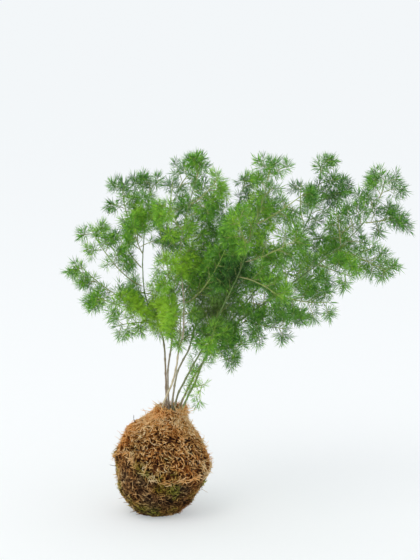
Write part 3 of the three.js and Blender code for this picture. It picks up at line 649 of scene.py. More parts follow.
upper_finish = moss_finish(
    "dry_upper_moss",
    [(0.0, (0.018, 0.007, 0.004)), (0.16, (0.10, 0.038, 0.014)), (0.36, (0.36, 0.152, 0.044)),
     (0.56, (0.62, 0.32, 0.100)), (0.78, (0.84, 0.54, 0.215)), (1.0, (0.95, 0.75, 0.44))],
    [(0.0, (0.02, 0.018, 0.004)), (0.3, (0.10, 0.105, 0.014)),
     (0.6, (0.25, 0.255, 0.034)), (1.0, (0.50, 0.48, 0.10))],
)
make_piece("upper_moss_mat", *join_parts(upper_parts), upper_finish, "upper_moss", "moss_upper")

# ---- Lower moss ----
# The lower mat, older and darker: fine grey-brown strands combed round the ball, with olive tufts, pressed
# flat where the ball stands on it.
rng = np.random.default_rng(12)
lower_angle = np.linspace(0, 2 * np.pi, MAT_COLUMNS, endpoint=False)[None, :]
foot_share = np.linspace(0.12, 0.96, 7)[:, None]
foot_radius = ball_radius(np.array(0.0)) * foot_share
foot = on_ball(lower_angle, 0 * foot_radius, foot_radius)
up_share = np.linspace(0, 1, 36)[:, None] ** 1.25
lower_z = (seam_height(lower_angle) + 1.5) * up_share
flat = 1 - smoothstep(lower_z, 0, 8)
felt_radius = moss_radius(lower_angle, np.minimum(lower_z, seam_height(lower_angle)))
lower_radius = flat * ball_radius(lower_z) + (1 - flat) * felt_radius
lower_out = on_ball(lower_angle, lower_z, lower_radius - FELT_SINK)
felt = 0.9 * ripple(lower_out, 12, 41) + 0.7 * ripple(lower_out, 6, 42)
lower_out += (felt * smoothstep(lower_z, 2, 14))[..., None] * level_out(lower_angle, lower_z)
down_z = 11 + (seam_height(lower_angle) - 11) * np.linspace(1, 0, 20)[:, None]
lower_in = on_ball(lower_angle, down_z, inside_radius(down_z))
felt_points, felt_faces = skin(np.vstack([foot, lower_out, lower_in]), [0, 0, 0], [0, 0, MOSS_THICKNESS])

bands = []
# The same four kinds as on the upper mat.
for count, sizes, arches, rises, thick, spread, flat, stations in (
    (2500, (6, 12), (0.6, 2.4), (-1.4, 2.0), (0.48, 0.82), 0.75, 1, 5),
    (2400, (3.5, 7.5), (0.2, 1.6), (1.8, 5.2), (0.6, 1.1), 1.2, 0.45, 5),
    (340, (10, 20), (1.0, 3.6), (-1.2, 5.0), (0.24, 0.38), 0.9, 1, 6),
    (420, (5, 9), (0.5, 2.0), (3.0, 5.5), (0.5, 0.85), 1.2, 0.5, 5),
):
    angle = rng.uniform(0, 2 * np.pi, count)
    seam_way = way_to_fringe(angle)
    way = 2 + (seam_way - 2) * rng.uniform(0, 1, count) ** 0.8
    combed = -0.7 + 0.5 * ripple(on_ball(angle, height_on(way), 60), 60, 43)
    heading = combed + rng.choice([0, np.pi], count) + rng.normal(0, spread, count)
    bands.append(strand_band(
        rng, angle, way, heading, curl=(-1.6, 1.6), length=sizes, root=(-1.2, 0.4), arch=arches, rise=rises,
        thick=thick, own=(0, 1), flat=flat, stations=stations,
    ))
lower_parts = [felt_part(felt_points, felt_faces, seed=44, contrast=0.10)]
lower_parts += [strand_part(*band, seed=45, spread=0.7) for band in bands]
lower_parts.append(loose_part([
    (-12, 40, -42, 12, 2, 0.3, 0.6), (-150, 30, -20, 10, 3, 0.4, 0.5), (-40, 24, -10, 9, 2, 0.4, 0.4),
    (40, 50, -15, 9, 3, 0.35, 0.5), (-146, 7, -8, 7, 1, 0.6, 0.35), (-128, 6, -6, 8, 2, 0.6, 0.45),
    (-98, 5, -5, 8, 2, 0.6, 0.4), (-72, 5, -5, 7, 2, 0.6, 0.5), (-44, 7, -8, 7, 1, 0.6, 0.4),
    (-160, 16, 0, 8, 2, 0.5, 0.45), (-24, 14, 0, 7, 2, 0.5, 0.4), (168, 26, 10, 8, 2, 0.45, 0.5),
    (8, 30, 8, 7, 2, 0.45, 0.45), (100, 8, -5, 8, 2, 0.5, 0.4), (60, 20, 0, 8, 2, 0.5, 0.4),
]))
lower_finish = moss_finish(
    "old_lower_moss",
    [(0.0, (0.018, 0.010, 0.006)), (0.16, (0.070, 0.038, 0.020)), (0.36, (0.215, 0.12, 0.056)),
     (0.56, (0.40, 0.24, 0.105)), (0.8, (0.64, 0.42, 0.19)), (1.0, (0.82, 0.62, 0.34))],
    [(0.0, (0.02, 0.019, 0.004)), (0.3, (0.10, 0.115, 0.013)),
     (0.6, (0.30, 0.33, 0.036)), (1.0, (0.58, 0.60, 0.12))],
)
make_piece("lower_moss_mat", *join_parts(lower_parts), lower_finish, "lower_moss", "moss_lower")

# ---- Thread ----
# Thin brown cotton, two plies twisted together, drawn tight round the ball in two turns that cross. The moss
# half hides it.
# Each turn is tilted: its middle height and its rise in mm, and the angle in degrees where it is highest.
THREAD_TURNS = [(68, 32, 35), (64, 34, 250)]
THREAD_STATIONS = 420
THREAD_LIFT = -4.6
PLY_RADIUS = 0.34
PLY_SIDES = 5
TWIST_LENGTH = 4.0


def unit(v):
    """v over its length."""
    return v / np.linalg.norm(v, axis=-1, keepdims=True)


def square_to(direction, v):
    """The part of v square to a unit direction, as a unit vector."""
    return unit(v - (v * direction).sum(axis=-1, keepdims=True) * direction)


def turned_about(axis, v, angle):
    """v, square to a unit axis, turned about it by an angle: v cos a + (axis x v) sin a."""
    return v * np.cos(angle) + np.cross(axis, v) * np.sin(angle)


station = np.linspace(0, 2 * np.pi, THREAD_STATIONS, endpoint=False)
plies = []
for middle, rise, highest in THREAD_TURNS:
    z = middle + rise * np.cos(station - np.radians(highest))
    above = z - seam_height(station)
    inner = ball_radius(z) + lumps(station, z)
    over_lap = smoothstep(above, -22, -4) * LAP * (2 - smoothstep(above, 25, 70))
    centre = on_ball(station, z, inner - LAP + over_lap + THREAD_LIFT)
    along = unit(np.roll(centre, -1, axis=0) - np.roll(centre, 1, axis=0))
    out = square_to(along, centre * [1, 1, 0])
    turn = np.arange(PLY_SIDES)[:, None] * 2 * np.pi / PLY_SIDES
    ring = turned_about(along[:, None], out[:, None], turn)
    way = np.linalg.norm(np.diff(centre, axis=0), axis=1).sum()
    twist = np.round(way / TWIST_LENGTH) * station[:, None]
    for side in (0, np.pi):
        path = centre + PLY_RADIUS * 0.9 * turned_about(along, out, twist + side)
        plies.append((*skin(path[:, None] + PLY_RADIUS * ring), {}))
thread_finish, node, show = new_finish("brown_cotton", Roughness=0.8, Sheen_Weight=0.3)
fibres = noise(node, object_place(node), 1500, 3)
show(ramp(node, fibres, [(0.3, (0.03, 0.018, 0.009)), (0.7, (0.12, 0.075, 0.035))]))
make_piece("thread", *join_parts(plies), thread_finish, "thread", "binding_thread")

# ---- Canes ----
# Seven thin woody stems of one fern, older grey ones on the left and younger green ones on the right. Each is
# jointed: it swells and turns a little at every node where leaves once sat.
CANE_RADIUS = 1.4
CANE_TIP_RADIUS = 0.8
CANE_DEPTH = 17
CANE_STEP = 36
CANE_STATIONS = 150
JOINT_STEP = 19
KNUCKLE_LENGTH = 1.6
UPPER_THINNING = 0.3
CANE_ROUTES = {
    "a": [
        (12, 2, 140), (11, 6, 194), (8, 12, 234), (-2, 18, 263), (-15, 20, 289), (-19, 18, 330),
        (-17, 14, 369), (-13, 10, 406), (-9, 8, 428),
    ],
    "b": [
        (15, 10, 139), (14, 16, 192), (18, 26, 220), (20, 36, 242), (19, 52, 281), (13, 66, 322),
        (10, 80, 364), (19, 92, 405), (29, 97, 428),
    ],
    "c": [
        (4, -6, 139), (13, -6, 163), (20, -7, 179), (26, -9, 203), (29, -12, 225), (35, -16, 248),
        (36, -20, 274), (36, -24, 295), (34, -30, 323), (32, -38, 357), (37, -44, 397), (47, -48, 436),
        (53, -50, 458),
    ],
    "d": [
        (19, 5, 140), (22, 8, 166), (27, 14, 190), (36, 24, 207), (42, 32, 217), (47, 42, 234),
        (57, 58, 266), (70, 76, 304), (87, 92, 343), (105, 104, 390), (114, 106, 420),
    ],
    "e": [
        (21, -12, 138), (28, -14, 166), (38, -17, 187), (49, -22, 209), (61, -30, 232), (73, -42, 261),
        (91, -60, 302), (109, -78, 344), (123, -92, 391), (137, -100, 436), (142, -101, 460),
    ],
    "f": [
        (27, 4, 139), (40, 6, 167), (50, 10, 186), (63, 16, 206), (76, 24, 224), (100, 36, 256),
        (133, 50, 295), (171, 62, 337), (200, 68, 381), (214, 66, 420), (218, 62, 444),
    ],
    "g": [
        (31, -8, 138), (41, -10, 162), (51, -10, 182), (60, -10, 206), (69, -11, 223), (89, -16, 248),
        (125, -24, 279), (174, -34, 317), (225, -40, 357), (266, -42, 397), (287, -40, 430),
    ],
}
# Bark of each cane: its dark and its light colour low down, how green it is there, and the share of its
# length by which it is all green.
CANE_BARK = {
    "a": ((0.17, 0.12, 0.08), (0.44, 0.34, 0.25), 0.0, 0.58),
    "b": ((0.26, 0.21, 0.15), (0.58, 0.50, 0.40), 0.0, 0.6),
    "c": ((0.36, 0.30, 0.19), (0.80, 0.71, 0.50), 0.0, 0.95),
    "d": ((0.26, 0.22, 0.15), (0.58, 0.51, 0.39), 0.1, 0.6),
    "e": ((0.10, 0.09, 0.055), (0.30, 0.27, 0.18), 0.1, 0.42),
    "f": ((0.21, 0.17, 0.10), (0.50, 0.43, 0.28), 0.15, 0.45),
    "g": ((0.15, 0.15, 0.08), (0.38, 0.38, 0.22), 0.35, 0.45),
}


def centripetal(points, t):
    """Centripetal Catmull-Rom curve through points, at shares t of the way in equal steps for each span."""
    p = np.array(points, float)
    p = np.vstack([2 * p[0] - p[1], p, 2 * p[-1] - p[-2]])
    place = np.clip(t, 0, 1) * (len(p) - 3)
    i = np.minimum(place.astype(int), len(p) - 4)
    w = (place - i)[:, None]
    p0, p1, p2, p3 = p[i], p[i + 1], p[i + 2], p[i + 3]
    spans = (p1 - p0, p2 - p1, p3 - p2)
    d0, d1, d2 = (np.linalg.norm(span, axis=1, keepdims=True) ** 0.5 for span in spans)
    m1 = ((p1 - p0) / d0 - (p2 - p0) / (d0 + d1) + (p2 - p1) / d1) * d1
    m2 = ((p2 - p1) / d1 - (p3 - p1) / (d1 + d2) + (p3 - p2) / d2) * d1
    return p1 + m1 * w + (-3 * p1 + 3 * p2 - 2 * m1 - m2) * w**2 + (2 * p1 - 2 * p2 + m1 + m2) * w**3


def evenly(curve, shares):
    """Points of curve(t) at shares of its length, from the lengths of 200 equal steps of t. Also its
    length."""
    t = np.linspace(0, 1, 201)
    gone = np.concatenate([[0], np.cumsum(np.linalg.norm(np.diff(curve(t), axis=0), axis=1))])
    return curve(np.interp(shares * gone[-1], gone, t)), gone[-1]


def between(low, high, share):
    """The number at a share of the way from low to high."""
    return low + (high - low) * share


def bark_finish(name, dark, light):
    """Thin bark: long streaks down the cane from dark to light, greener towards the top, with fine ridges."""
    material, node, show = new_finish(name, Roughness=0.62, Specular_IOR_Level=0.35)
    drawn_out = node("Mapping", {"Scale": (1, 1, 0.12)}, Vector=object_place(node))
    streaks = noise(node, drawn_out.outputs[0], 700, 5, 0.65)
    bark = ramp(node, streaks, [(0.32, dark), (0.68, light)])
    young = mark_value(node, "young")
    living = ramp(node, streaks, [(0.3, (0.11, 0.20, 0.05)), (0.7, (0.25, 0.36, 0.12))])
    mixed = mix(node, young, bark, living)
    show(mixed, node("Bump", {"Strength": 0.5, "Distance": 0.0003}, Height=streaks))
    return material


cane_parts = {}
for number, (letter, route) in enumerate(CANE_ROUTES.items()):
    points = np.array(route, float)
    points = np.vstack([points[0] - CANE_DEPTH * unit(points[1] - points[0]), points])
    steps = int(np.floor(evenly(lambda t: centripetal(points, t), np.array([0]))[1] / CANE_STEP + 0.5))
    corners, length = evenly(lambda t: centripetal(points, t), np.linspace(0, 1, steps + 1))
    cane_parts[letter] = (corners, between(CANE_RADIUS, CANE_TIP_RADIUS, np.linspace(0, 1, steps + 1)))
    share = np.linspace(0, 1, CANE_STATIONS)
    path = evenly(lambda t: centripetal(points, t), share)[0]
    way = share * length
    joint_step = JOINT_STEP + 3 * np.sin(number * 2.1)
    to_joint = (way / joint_step + 0.3 * number) % 1 - 0.5
    knuckle = np.exp(-((to_joint * joint_step / KNUCKLE_LENGTH) ** 2))
    jog = 0.5 * np.sin(np.pi * np.floor(way / joint_step + 0.3 * number)) + np.abs(to_joint)
    path[:, 0] += 0.5 * (jog - 0.25) * smoothstep(way, 25, 45)
    radii = between(CANE_RADIUS, CANE_TIP_RADIUS, share) * (0.95 + 0.4 * knuckle)
    radii *= 1 - UPPER_THINNING * smoothstep(share, 0.35, 0.7)
    tube_points, tube_faces, _, along = tubes(path[None], radii[None], 8)
    dark, light, low_green, all_green = CANE_BARK[letter]
    green = low_green + smoothstep(along, all_green - 0.4, all_green) * (1 - low_green)
    finish = bark_finish("bark_" + letter, dark, light)
    make_piece("stem_" + letter, tube_points, tube_faces, {"young": green}, finish, "cane", "cane_" + letter)

# ---- Sprays ----
# The fern's leafy side shoots. A thin green branch bends up and out of its cane, side branches leave it in
# turn, and twigs on all of them end in soft tufts of needles, which are really leaf-like stems.
BRANCH_RADIUS = 0.75
WHORL_RADIUS = 1.0
NEEDLE_LENGTH = 13.5
SPRING_STEP = 27
FIRST_SPRING = 0.26
LAST_SPRING = 11
SIDE_REACH = (31, 18)
SIDE_ANGLE = 1.0
SIDE_TURNS = 10
CROWDED = 2
ROOT_GAP = 0.3
ROOT_LENGTH = 1.6
WHORL_STEP = 8.5
LONG_BRANCH = 50
LEAVING = (0.85, 0.5)
BEND = 0.4
# The sprays of each cane: the height where one springs, then its tip x, y, z, in mm.
SPRAYS = {
    "a": [
        (255, -55, 0, 255), (270, -80, -30, 300), (280, -105, 5, 340), (305, -85, -20, 390),
        (330, -55, 40, 375), (350, -30, -45, 405), (370, -45, 10, 445), (430, -10, 15, 450),
    ],
    "b": [
        (280, -35, 90, 285), (330, 0, 120, 380), (390, 20, 125, 435), (435, 45, 95, 450),
    ],
    "c": [
        (245, 34, -72, 294), (290, 90, -100, 375), (315, 5, -85, 355), (350, 68, -15, 395),
        (390, 20, -85, 430), (425, 80, -80, 460), (460, 60, -45, 480),
    ],
    "d": [
        (255, 85, 110, 260), (290, 50, 130, 320), (325, 145, 130, 335), (350, 150, 50, 375),
        (380, 150, 120, 405), (425, 120, 105, 445),
    ],
    "e": [
        (250, 75, -85, 260), (300, 112, 5, 325), (335, 165, -110, 310), (355, 185, -95, 390),
        (380, 105, -130, 420), (405, 195, -70, 445), (465, 145, -100, 485),
    ],
    "f": [
        (220, 95, 35, 195), (250, 140, 90, 250), (280, 195, 75, 245), (320, 225, 100, 295),
        (360, 245, 65, 370), (380, 195, 95, 435), (410, 255, 90, 425), (445, 215, 55, 470),
    ],
    "g": [
        (175, 65, -35, 185), (240, 105, -50, 230), (270, 170, -40, 260), (305, 225, -65, 300),
        (345, 250, -75, 335), (365, 305, -25, 330), (370, 235, -10, 410), (400, 325, -10, 405),
        (435, 295, -40, 460),
    ],
}
spray_rows = [(letter, k, *row) for letter, rows in SPRAYS.items() for k, row in enumerate(rows, 1)]


def chance(a, b=0, c=0):
    """The same number from 0 to 1 for the same three numbers: the fraction of a very tall sine wave."""
    wave = np.sin(a * 12.9898 + b * 78.233 + c * 37.719 + 4.1) * 43758.5453
    return wave - np.floor(wave)


def aside(axis, angle):
    """A unit vector square to a unit axis, at an angle about it from a fixed one."""
    return turned_about(axis, square_to(axis, np.array([0.31, 0.87, 0.38])), angle)


def quadratic(start, bend, end, t):
    """Quadratic Bezier curve (1-t)^2 start + 2t(1-t) bend + t^2 end."""
    return (1 - t) ** 2 * start + 2 * t * (1 - t) * bend + t**2 * end


def gaps(rod, others):
    """Gaps in mm between one straight round rod and others, from the closest points of their middle lines."""
    (p, q, start, end), (ps, qs, starts, ends) = rod, others
    d1, d2, r = q - p, qs - ps, p - ps
    a, e, b = d1 @ d1, (d2 * d2).sum(axis=1), d2 @ d1
    c, f = r @ d1, (d2 * r).sum(axis=1)
    spread = a * e - b * b
    s = np.where(spread > 1e-9, np.clip((b * f - c * e) / np.maximum(spread, 1e-9), 0, 1), 0)
    t = np.clip((b * s + f) / e, 0, 1)
    s = np.clip((b * t - c) / a, 0, 1)
    apart = (p + s[:, None] * d1) - (ps + t[:, None] * d2)
    return np.linalg.norm(apart, axis=1) - (start + s * (end - start)) - (starts + t * (ends - starts))


# Straight rods of all canes and branches: (from, to, radius at each end, owner). New side branches keep clear
# of other owners' rods.
rods = []
for letter, (corners, radii) in cane_parts.items():
    rods += [(corners[i], corners[i + 1], radii[i], radii[i + 1], letter) for i in range(len(corners) - 1)]

plans = []
tuft_middles = []
for number, (letter, k, height, *tip) in enumerate(spray_rows):
    corners, radii = cane_parts[letter]
    end = np.array(tip, float)
    i = int(np.argmax(corners[1:, 2] >= height)) if corners[-1, 2] >= height else len(corners) - 2
    share = min((height - corners[i, 2]) / (corners[i + 1, 2] - corners[i, 2]), 1)
    on = corners[i] + share * (corners[i + 1] - corners[i])
    rising = unit(corners[i + 1] - corners[i])
    is_end = i == len(corners) - 2 and share == 1
    outwards = rising if is_end else square_to(rising, end - on)
    root = on + outwards * (ROOT_GAP + (0 if is_end else radii[i] + share * (radii[i + 1] - radii[i])))
    leaving = unit(LEAVING[0] * outwards + LEAVING[1] * rising)
    bend = root + BEND * np.linalg.norm(end - root) * leaving

    def main_curve(t, root=root, bend=bend, end=end):
        """The main branch from root to end."""
        return quadratic(root, bend, end, t[:, None])

    length = evenly(main_curve, np.array([0.0]))[1]
    spring_count = max(2, int(np.floor(length / SPRING_STEP + 0.5)))
    springs = np.linspace(FIRST_SPRING * length, length - LAST_SPRING, spring_count)
    rings = np.sort(np.concatenate([[0, ROOT_LENGTH, length], springs]))
    places = evenly(main_curve, rings / length)[0]
    rods += [(places[i], places[i + 1], BRANCH_RADIUS, BRANCH_RADIUS, number) for i in range(len(rings) - 1)]
    tuft_middles.append(places[-1])
    if length > LONG_BRANCH:
        on_the_way = (springs[-1] + springs[-2] + WHORL_STEP) / 2
        tuft_middles.append(evenly(main_curve, np.array([on_the_way / length]))[0][0])
    plans.append((main_curve, length, springs, number, f"spray_{letter}{k}"))

side_branches = []
for main_curve, length, springs, number, _ in plans:
    sides = []
    for j, spring in enumerate(springs):
        place, ahead = evenly(main_curve, np.array([spring, spring + 0.05]) / length)[0]
        behind = evenly(main_curve, np.array([spring - 0.05]) / length)[0][0]
        along = unit(ahead - behind)
        reach = SIDE_REACH[0] + (SIDE_REACH[1] - SIDE_REACH[0]) * j / (len(springs) - 1)
        reach *= 0.85 + 0.3 * chance(number, j, 1)
        others = [rod for rod in rods if rod[4] != number]
        packed = tuple(np.array([rod[k] for rod in others]) for k in range(4))
        best_room, best = -1, None
        for turn in range(SIDE_TURNS):
            angle = 2 * np.pi * (turn + chance(number, j, 2)) / SIDE_TURNS
            side = aside(along, angle)
            to = place + reach * (side * np.sin(SIDE_ANGLE) + along * np.cos(SIDE_ANGLE))
            room = min(np.linalg.norm(np.array(tuft_middles) - to, axis=1))
            if room > best_room and gaps((place, to, BRANCH_RADIUS, WHORL_RADIUS), packed).min() > CROWDED:
                best_room, best = room, to
        if best is not None:
            rods.append((place, best, BRANCH_RADIUS, WHORL_RADIUS, number))
            tuft_middles.append(best)
            sides.append((place, best, along))
    side_branches.append(sides)


def branch_points(start, end, leaving, stations):
    """Branches on a branches by stations grid: quadratic curves that leave start along leaving and end at
    end."""
    t = np.linspace(0, 1, stations)[None, :, None]
    length = np.linalg.norm(end - start, axis=-1, keepdims=True)
    bend = start + 0.45 * length * leaving
    return quadratic(start[:, None], bend[:, None], end[:, None], t)


crown_low, crown_high = (1000 * np.array(corner) for corner in cad_box)
crown_middle = np.mean(tuft_middles, axis=0)
# How far a shoot's end stays inside the solids' box, in mm: at the low ends of the axes and at the high ends.
LOW_MARGIN = 10
HIGH_MARGINS = [4, 10, 5]
# What a shoot's end is scored by: room in mm, at most TUFT_ROOM; fullness, at most FULLEST; mm outside the
# box; and mm from the crown's middle, stretched along x, y and z.
TUFT_ROOM = 14
FULLEST = 1.4
FULL_WEIGHT = 5
OUTSIDE_WEIGHT = 3
MIDDLE_WEIGHT = 0.012
MIDDLE_STRETCH = [0.6, 1.3, 1]
MOST_TUFTS = 9000
crowd = np.full((MOST_TUFTS, 3), 1e6)
crowd[: len(tuft_middles)] = tuft_middles
tufts_so_far = len(tuft_middles)

# Where the crown is fuller than elsewhere and where light shows through it: middle x, y and z, reach along x,
# y and z, in mm, and what is added there.
USUAL_FULLNESS = 0.86
FULLER_PLACES = [
    (2, -25, 284, 42, 60, 18, 0.9), (70, -20, 335, 70, 90, 80, 0.3), (120, -40, 260, 40, 60, 30, 0.2),
    (95, -80, 320, 24, 34, 60, 0.4), (102, -95, 335, 20, 40, 24, -0.9), (-13, 0, 336, 13, 400, 36, -1.7),
    (-58, 0, 322, 22, 200, 34, -0.4), (-34, 0, 318, 9, 200, 34, 0.15), (-74, 0, 348, 26, 200, 22, -0.1),
    (-60, 0, 284, 30, 80, 16, -0.2), (-50, 0, 262, 30, 80, 18, -0.3), (37, -60, 283, 11, 60, 36, -1.4),
    (62, -35, 175, 40, 60, 30, -0.8), (180, 0, 450, 14, 200, 30, -0.6), (12, 0, 384, 12, 200, 12, -0.9),
    (30, 0, 450, 80, 200, 30, -0.2), (-14, -10, 412, 18, 60, 20, 0.5), (8, -40, 340, 20, 90, 24, -0.6),
    (235, -20, 352, 36, 90, 28, 0.4), (305, -20, 405, 30, 60, 30, 0.35), (68, 0, 320, 34, 60, 30, 0.3),
    (42, -15, 244, 42, 60, 13, 0.9), (264, -30, 440, 22, 80, 20, 0.8), (330, -15, 415, 18, 60, 30, 0.9),
    (-8, 0, 254, 26, 80, 12, 0.8), (-34, 0, 458, 26, 100, 12, 0.8), (58, 0, 486, 24, 60, 12, 0.9),
]


def fullness(points):
    """The share of shoots that grow at points: the usual one, with more or less near the places in
    FULLER_PLACES, each falling off like exp(-d^2)."""
    places = np.array(FULLER_PLACES, float)
    d2 = (((points[:, None] - places[:, :3]) / places[:, 3:6]) ** 2).sum(axis=-1)
    return USUAL_FULLNESS + (places[:, 6] * np.exp(-d2)).sum(axis=-1)


def sprout(place, along, reach, angle, turns, luck):
    """Where a shoot from a place ends, or None if it doesn't grow: of some turns about its branch, the one
    whose end is furthest from all tufts so far, up to TUFT_ROOM, in the fuller places and inside the crown's
    box."""
    global tufts_so_far
    spin = 2 * np.pi * (np.arange(turns) + luck) / turns
    ends = place + reach * (aside(along, spin[:, None]) * np.sin(angle) + along * np.cos(angle))
    room = np.linalg.norm(crowd[:tufts_so_far] - ends[:, None], axis=2).min(axis=1)
    outside = np.maximum(crown_low + LOW_MARGIN - ends, ends - crown_high + HIGH_MARGINS).max(axis=1)
    full = fullness(ends)
    score = np.minimum(room, TUFT_ROOM) + FULL_WEIGHT * np.minimum(full, FULLEST)
    score -= OUTSIDE_WEIGHT * np.maximum(outside, 0)
    score -= MIDDLE_WEIGHT * np.linalg.norm((ends - crown_middle) * MIDDLE_STRETCH, axis=1)
    best = int(np.argmax(score))
    if full[best] < chance(luck, reach, 3):
        return None
    crowd[tufts_so_far] = ends[best]
    tufts_so_far += 1
    return ends[best]


# Further side branches between the first ones, wherever the crown has room for them.
SHOOT_ANGLE, SHOOT_TURNS = 1.05, 9
TWIG_ANGLE, TWIG_TURNS = 0.95, 6
FURTHER_STEP = 9.5
for (main_curve, length, springs, number, _), sides in zip(plans, side_branches):
    for j, spring in enumerate(np.arange(0.16 * length, length - 7, FURTHER_STEP)):
        place, ahead = evenly(main_curve, np.array([spring, spring + 0.5]) / length)[0]
        along = unit(ahead - place)
        reach = (27 - 12 * spring / length) * (0.8 + 0.4 * chance(number, j, 5))
        end = sprout(place, along, reach, SHOOT_ANGLE, SHOOT_TURNS, chance(number, j, 6))
        if end is not None:
            sides.append((place, end, along))


# Short shoots all along the leafy part of each cane fill the crown between the sprays.
SHOOT_STEP = 10.5
SHOOT_REACH = (26, 46)
SHOOTS_FROM = {"a": 238, "b": 230, "c": 228, "d": 226, "e": 228, "f": 226, "g": 228}
# Single tufts low on the younger canes: their heights, and how far they reach out and up, in mm.
LOW_TUFTS = {"e": (177, 196, 209, 220), "f": (171, 187, 201, 214), "g": (162, 178, 193, 207, 219)}
LOW_TUFT_REACH = (8, 6)


def on_cane(corners, height):
    """The place on a cane at a height in mm, and the way that the cane goes there."""
    i = int(np.argmax(corners[1:, 2] >= height))
    step = corners[i + 1] - corners[i]
    return corners[i] + (height - corners[i, 2]) / step[2] * step, unit(step)


cane_shoots, low_tufts = {}, {}
for number, (letter, (corners, _)) in enumerate(cane_parts.items()):
    cane_shoots[letter] = []
    for j, height in enumerate(np.arange(SHOOTS_FROM[letter], corners[-1, 2] - 8, SHOOT_STEP)):
        place, along = on_cane(corners, height)
        if fullness(place[None])[0] < 0:
            continue
        reach = between(*SHOOT_REACH, chance(number, j, 31))
        end = sprout(place, along, reach, SHOOT_ANGLE, SHOOT_TURNS, chance(number, j, 32))
        if end is not None:
            cane_shoots[letter].append((place, end, along))
    low_tufts[letter] = []
    for j, height in enumerate(LOW_TUFTS.get(letter, ())):
        place, along = on_cane(corners, height)
        out = aside(along, 2 * np.pi * chance(number, j, 41))
        low_tufts[letter].append((place, place + LOW_TUFT_REACH[0] * out + LOW_TUFT_REACH[1] * along, along))


def twigs_on(branches, shares, longest, number):
    """Twigs at shares of the length of branches, where the crown has most room, shorter towards the tip."""
    twigs = []
    for j, (start, end, _) in enumerate(branches):
        way = unit(end - start)
        for k, share in enumerate(shares):
            place = start + share * (end - start)
            reach = longest * (1 - 0.35 * share) * (0.8 + 0.4 * chance(number, j, k + 10))
            tip = sprout(place, way, reach, TWIG_ANGLE, TWIG_TURNS, chance(number, j, k + 20))
            if tip is not None:
                twigs.append((place, tip, way))
    return twigs


def tuft_needles(tips, ways, rng, count, size):
    """Needles of soft tufts on twigs that end at tips and point along ways: each leaves the last few
    millimetres of its twig at any angle round it, splayed back low down and forward at the tip, and bends a
    little. Returns a needles by stations grid of points and each needle's tuft."""
    tuft = np.repeat(np.arange(len(tips)), count)
    share = rng.uniform(0, 1, len(tuft))
    forward = np.clip(-0.2 + 1.15 * share + rng.normal(0, 0.18, len(tuft)), -0.6, 0.98)
    spin = rng.uniform(0, 2 * np.pi, len(tuft))
    way = ways[tuft]
    direction = forward[:, None] * way + np.sqrt(1 - forward**2)[:, None] * aside(way, spin[:, None])
    root = tips[tuft] - (1 - share)[:, None] * size[tuft][:, None] * way
    long = NEEDLE_LENGTH * rng.uniform(0.7, 1.04, len(tuft))[:, None]
    bend = root + 0.5 * long * direction - 0.35 * rng.uniform(-1, 1, (len(tuft), 3))
    end = root + long * unit(direction + 0.12 * way + rng.normal(0, 0.05, (len(tuft), 3)))
    t = np.array([0, 0.45, 1.0])[None, :, None]
    return quadratic(root[:, None], bend[:, None], end[:, None], t), tuft


needle_finish, node, show = new_finish("soft_needles", Roughness=0.5, Specular_IOR_Level=0.2)
age, stem = mark_value(node, "age"), mark_value(node, "stem")
flecks = noise(node, object_place(node), 320, 2)
leaf = ramp(node, multiply_add(node, flecks, 0.2, age), [
    (0.0, (0.46, 0.79, 0.055)), (0.3, (0.25, 0.575, 0.048)), (0.6, (0.13, 0.375, 0.046)),
    (0.85, (0.060, 0.208, 0.034)), (1.0, (0.024, 0.095, 0.016)),
])
twig = ramp(node, flecks, [(0.3, (0.20, 0.22, 0.080)), (0.7, (0.48, 0.45, 0.22))])
show(mix(node, stem, leaf, twig))

# How the crown's growth differs from place to place: middle x, y and z and reach in mm, how much older it is,
# and how dry. The rows at (98, -60, 342) and (57, 0, 385) are painted shade, darker deep in the crown.
GROWTH_AND_SHADE = [
    (6, -55, 286, 36, -0.5, 0), (-25, -20, 283, 30, -0.4, 0), (34, -60, 352, 30, -0.3, 0),
    (-12, -20, 408, 26, -0.3, 0), (28, -60, 415, 22, -0.22, 0), (118, -60, 447, 30, -0.25, 0),
    (62, -35, 185, 34, -0.35, 0), (-85, -10, 300, 22, -0.15, 0), (-80, 0, 350, 36, -0.2, 0),
    (130, -90, 380, 34, -0.2, 0), (98, -60, 342, 28, 0.9, 0.04), (57, 0, 385, 16, 0.4, 0),
    (72, -30, 290, 26, 0.15, 0.45), (20, 0, 250, 26, -0.15, 0.2), (10, 0, 345, 18, 0.2, 0),
]
NEEDLES_IN_TUFT = 26
NEEDLE_RADIUS = 0.35
# How much of a branch's end its tuft covers, in mm.
MAIN_TUFT, SIDE_TUFT, TWIG_TUFT = 10.0, 9.0, 7.0
# Radius of the wood at its root and at its tip in mm, and how many sides it has.
MAIN_WOOD, SIDE_WOOD, TWIG_WOOD = (0.85, 0.5, 6), (0.55, 0.4, 4), (0.4, 0.3, 3)


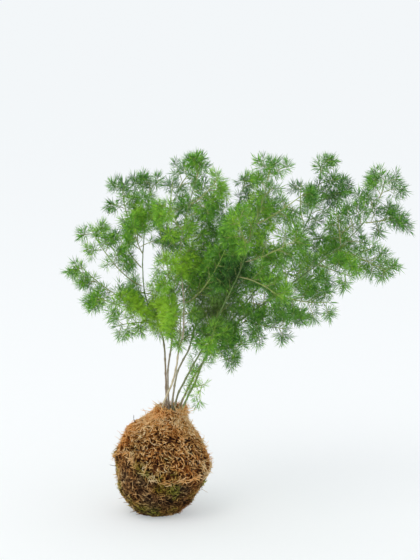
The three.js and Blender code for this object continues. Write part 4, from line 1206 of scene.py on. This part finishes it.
def leafy_part(branches, twigs, main_path, rng):
    """The mesh of a leafy shoot: its main path, its side branches, the twigs on them, and a tuft of needles
    on every end. Needles are lighter in the flushes and at their tips, and darker towards the outside of the
    crown; painted shade makes them darker towards the back and in some deep places."""
    starts, ends, alongs = (np.array(column) for column in zip(*branches))
    side_ways = unit(ends - starts)
    side_paths = branch_points(starts, ends, unit(side_ways + 0.35 * alongs), 7)
    twig_from, twig_ends, twig_ahead = (np.array(column) for column in zip(*twigs))
    twig_way = unit(twig_ends - twig_from)
    wood = [(side_paths, *SIDE_WOOD), (branch_points(twig_from, twig_ends, twig_ahead, 4), *TWIG_WOOD)]
    tips, ways = np.vstack([ends, twig_ends]), np.vstack([side_ways, twig_way])
    size = np.repeat([SIDE_TUFT, TWIG_TUFT], [len(ends), len(twig_ends)])
    if main_path is not None:
        wood.append((main_path[None], *MAIN_WOOD))
        tips = np.vstack([tips, main_path[-1:]])
        ways = np.vstack([ways, unit(main_path[-1:] - main_path[-2:-1])])
        size = np.append(size, MAIN_TUFT)
    needles, tuft = tuft_needles(tips, ways, rng, NEEDLES_IN_TUFT, size)
    kept = rng.uniform(0, 1, len(tuft)) < np.clip(0.5 + fullness(tips), 0.5, 1)[tuft]
    needles, tuft = needles[kept], tuft[kept]
    thickness = np.array([0, NEEDLE_RADIUS, 0])[None, :] * rng.uniform(0.8, 1.2, (len(needles), 1))
    points, faces, needle, share = tubes(needles, thickness, 3)
    growth = np.array(GROWTH_AND_SHADE, float)
    away = (tips[:, None] - growth[:, :3]) * [1, 0.45, 1]
    near = np.exp(-((np.linalg.norm(away, axis=2) / growth[:, 3]) ** 2))
    out = np.linalg.norm((tips - crown_middle) / [200, 130, 110], axis=1)
    # Painted shade: tufts further back are darker, and so are the deep places in the table above.
    age_and_depth_shade = 0.42 + 0.001 * tips[:, 1] + 0.12 * ripple(tips, 90, 71) + near @ growth[:, 4] + 0.1 * out
    age_and_depth_shade += rng.normal(0, 0.08, len(tips))
    age = np.clip(age_and_depth_shade[tuft] + rng.normal(0, 0.16, len(tuft)), 0, 1)[needle] - 0.12 * share
    parts = [(points, faces, {"age": age, "stem": (near @ growth[:, 5])[tuft][needle]})]
    for paths, thick, thin, round_sides in wood:
        radii = np.linspace(thick, thin, paths.shape[1])[None, :].repeat(len(paths), axis=0)
        points, faces, _, share = tubes(paths, radii, round_sides)
        parts.append((points, faces, {"age": 0 * share, "stem": 1 - 0.5 * share}))
    return join_parts(parts)


# Twigs sit at these shares of their branches' lengths. One at the root would be about this long, in mm.
SPRAY_TWIGS = ((0.3, 0.45, 0.6, 0.74, 0.88), 12)
SHOOT_TWIGS = ((0.22, 0.36, 0.5, 0.62, 0.74, 0.87), 15)
spray_twigs = [twigs_on(sides, *SPRAY_TWIGS, number) for number, sides in enumerate(side_branches)]
for (main_curve, _, _, number, name), sides, twigs in zip(plans, side_branches, spray_twigs):
    main_path = evenly(main_curve, np.linspace(0, 1, 26))[0]
    spray = leafy_part(sides, twigs, main_path, np.random.default_rng(500 + number))
    make_piece("leafy_" + name, *spray, needle_finish, "needles", name)
for number, (letter, shoots) in enumerate(cane_shoots.items()):
    twigs = twigs_on(shoots, *SHOOT_TWIGS, 60 + number)
    leaves = leafy_part(shoots + low_tufts[letter], twigs, None, np.random.default_rng(600 + number))
    make_piece("leafy_shoots_" + letter, *leaves, needle_finish, "needles")
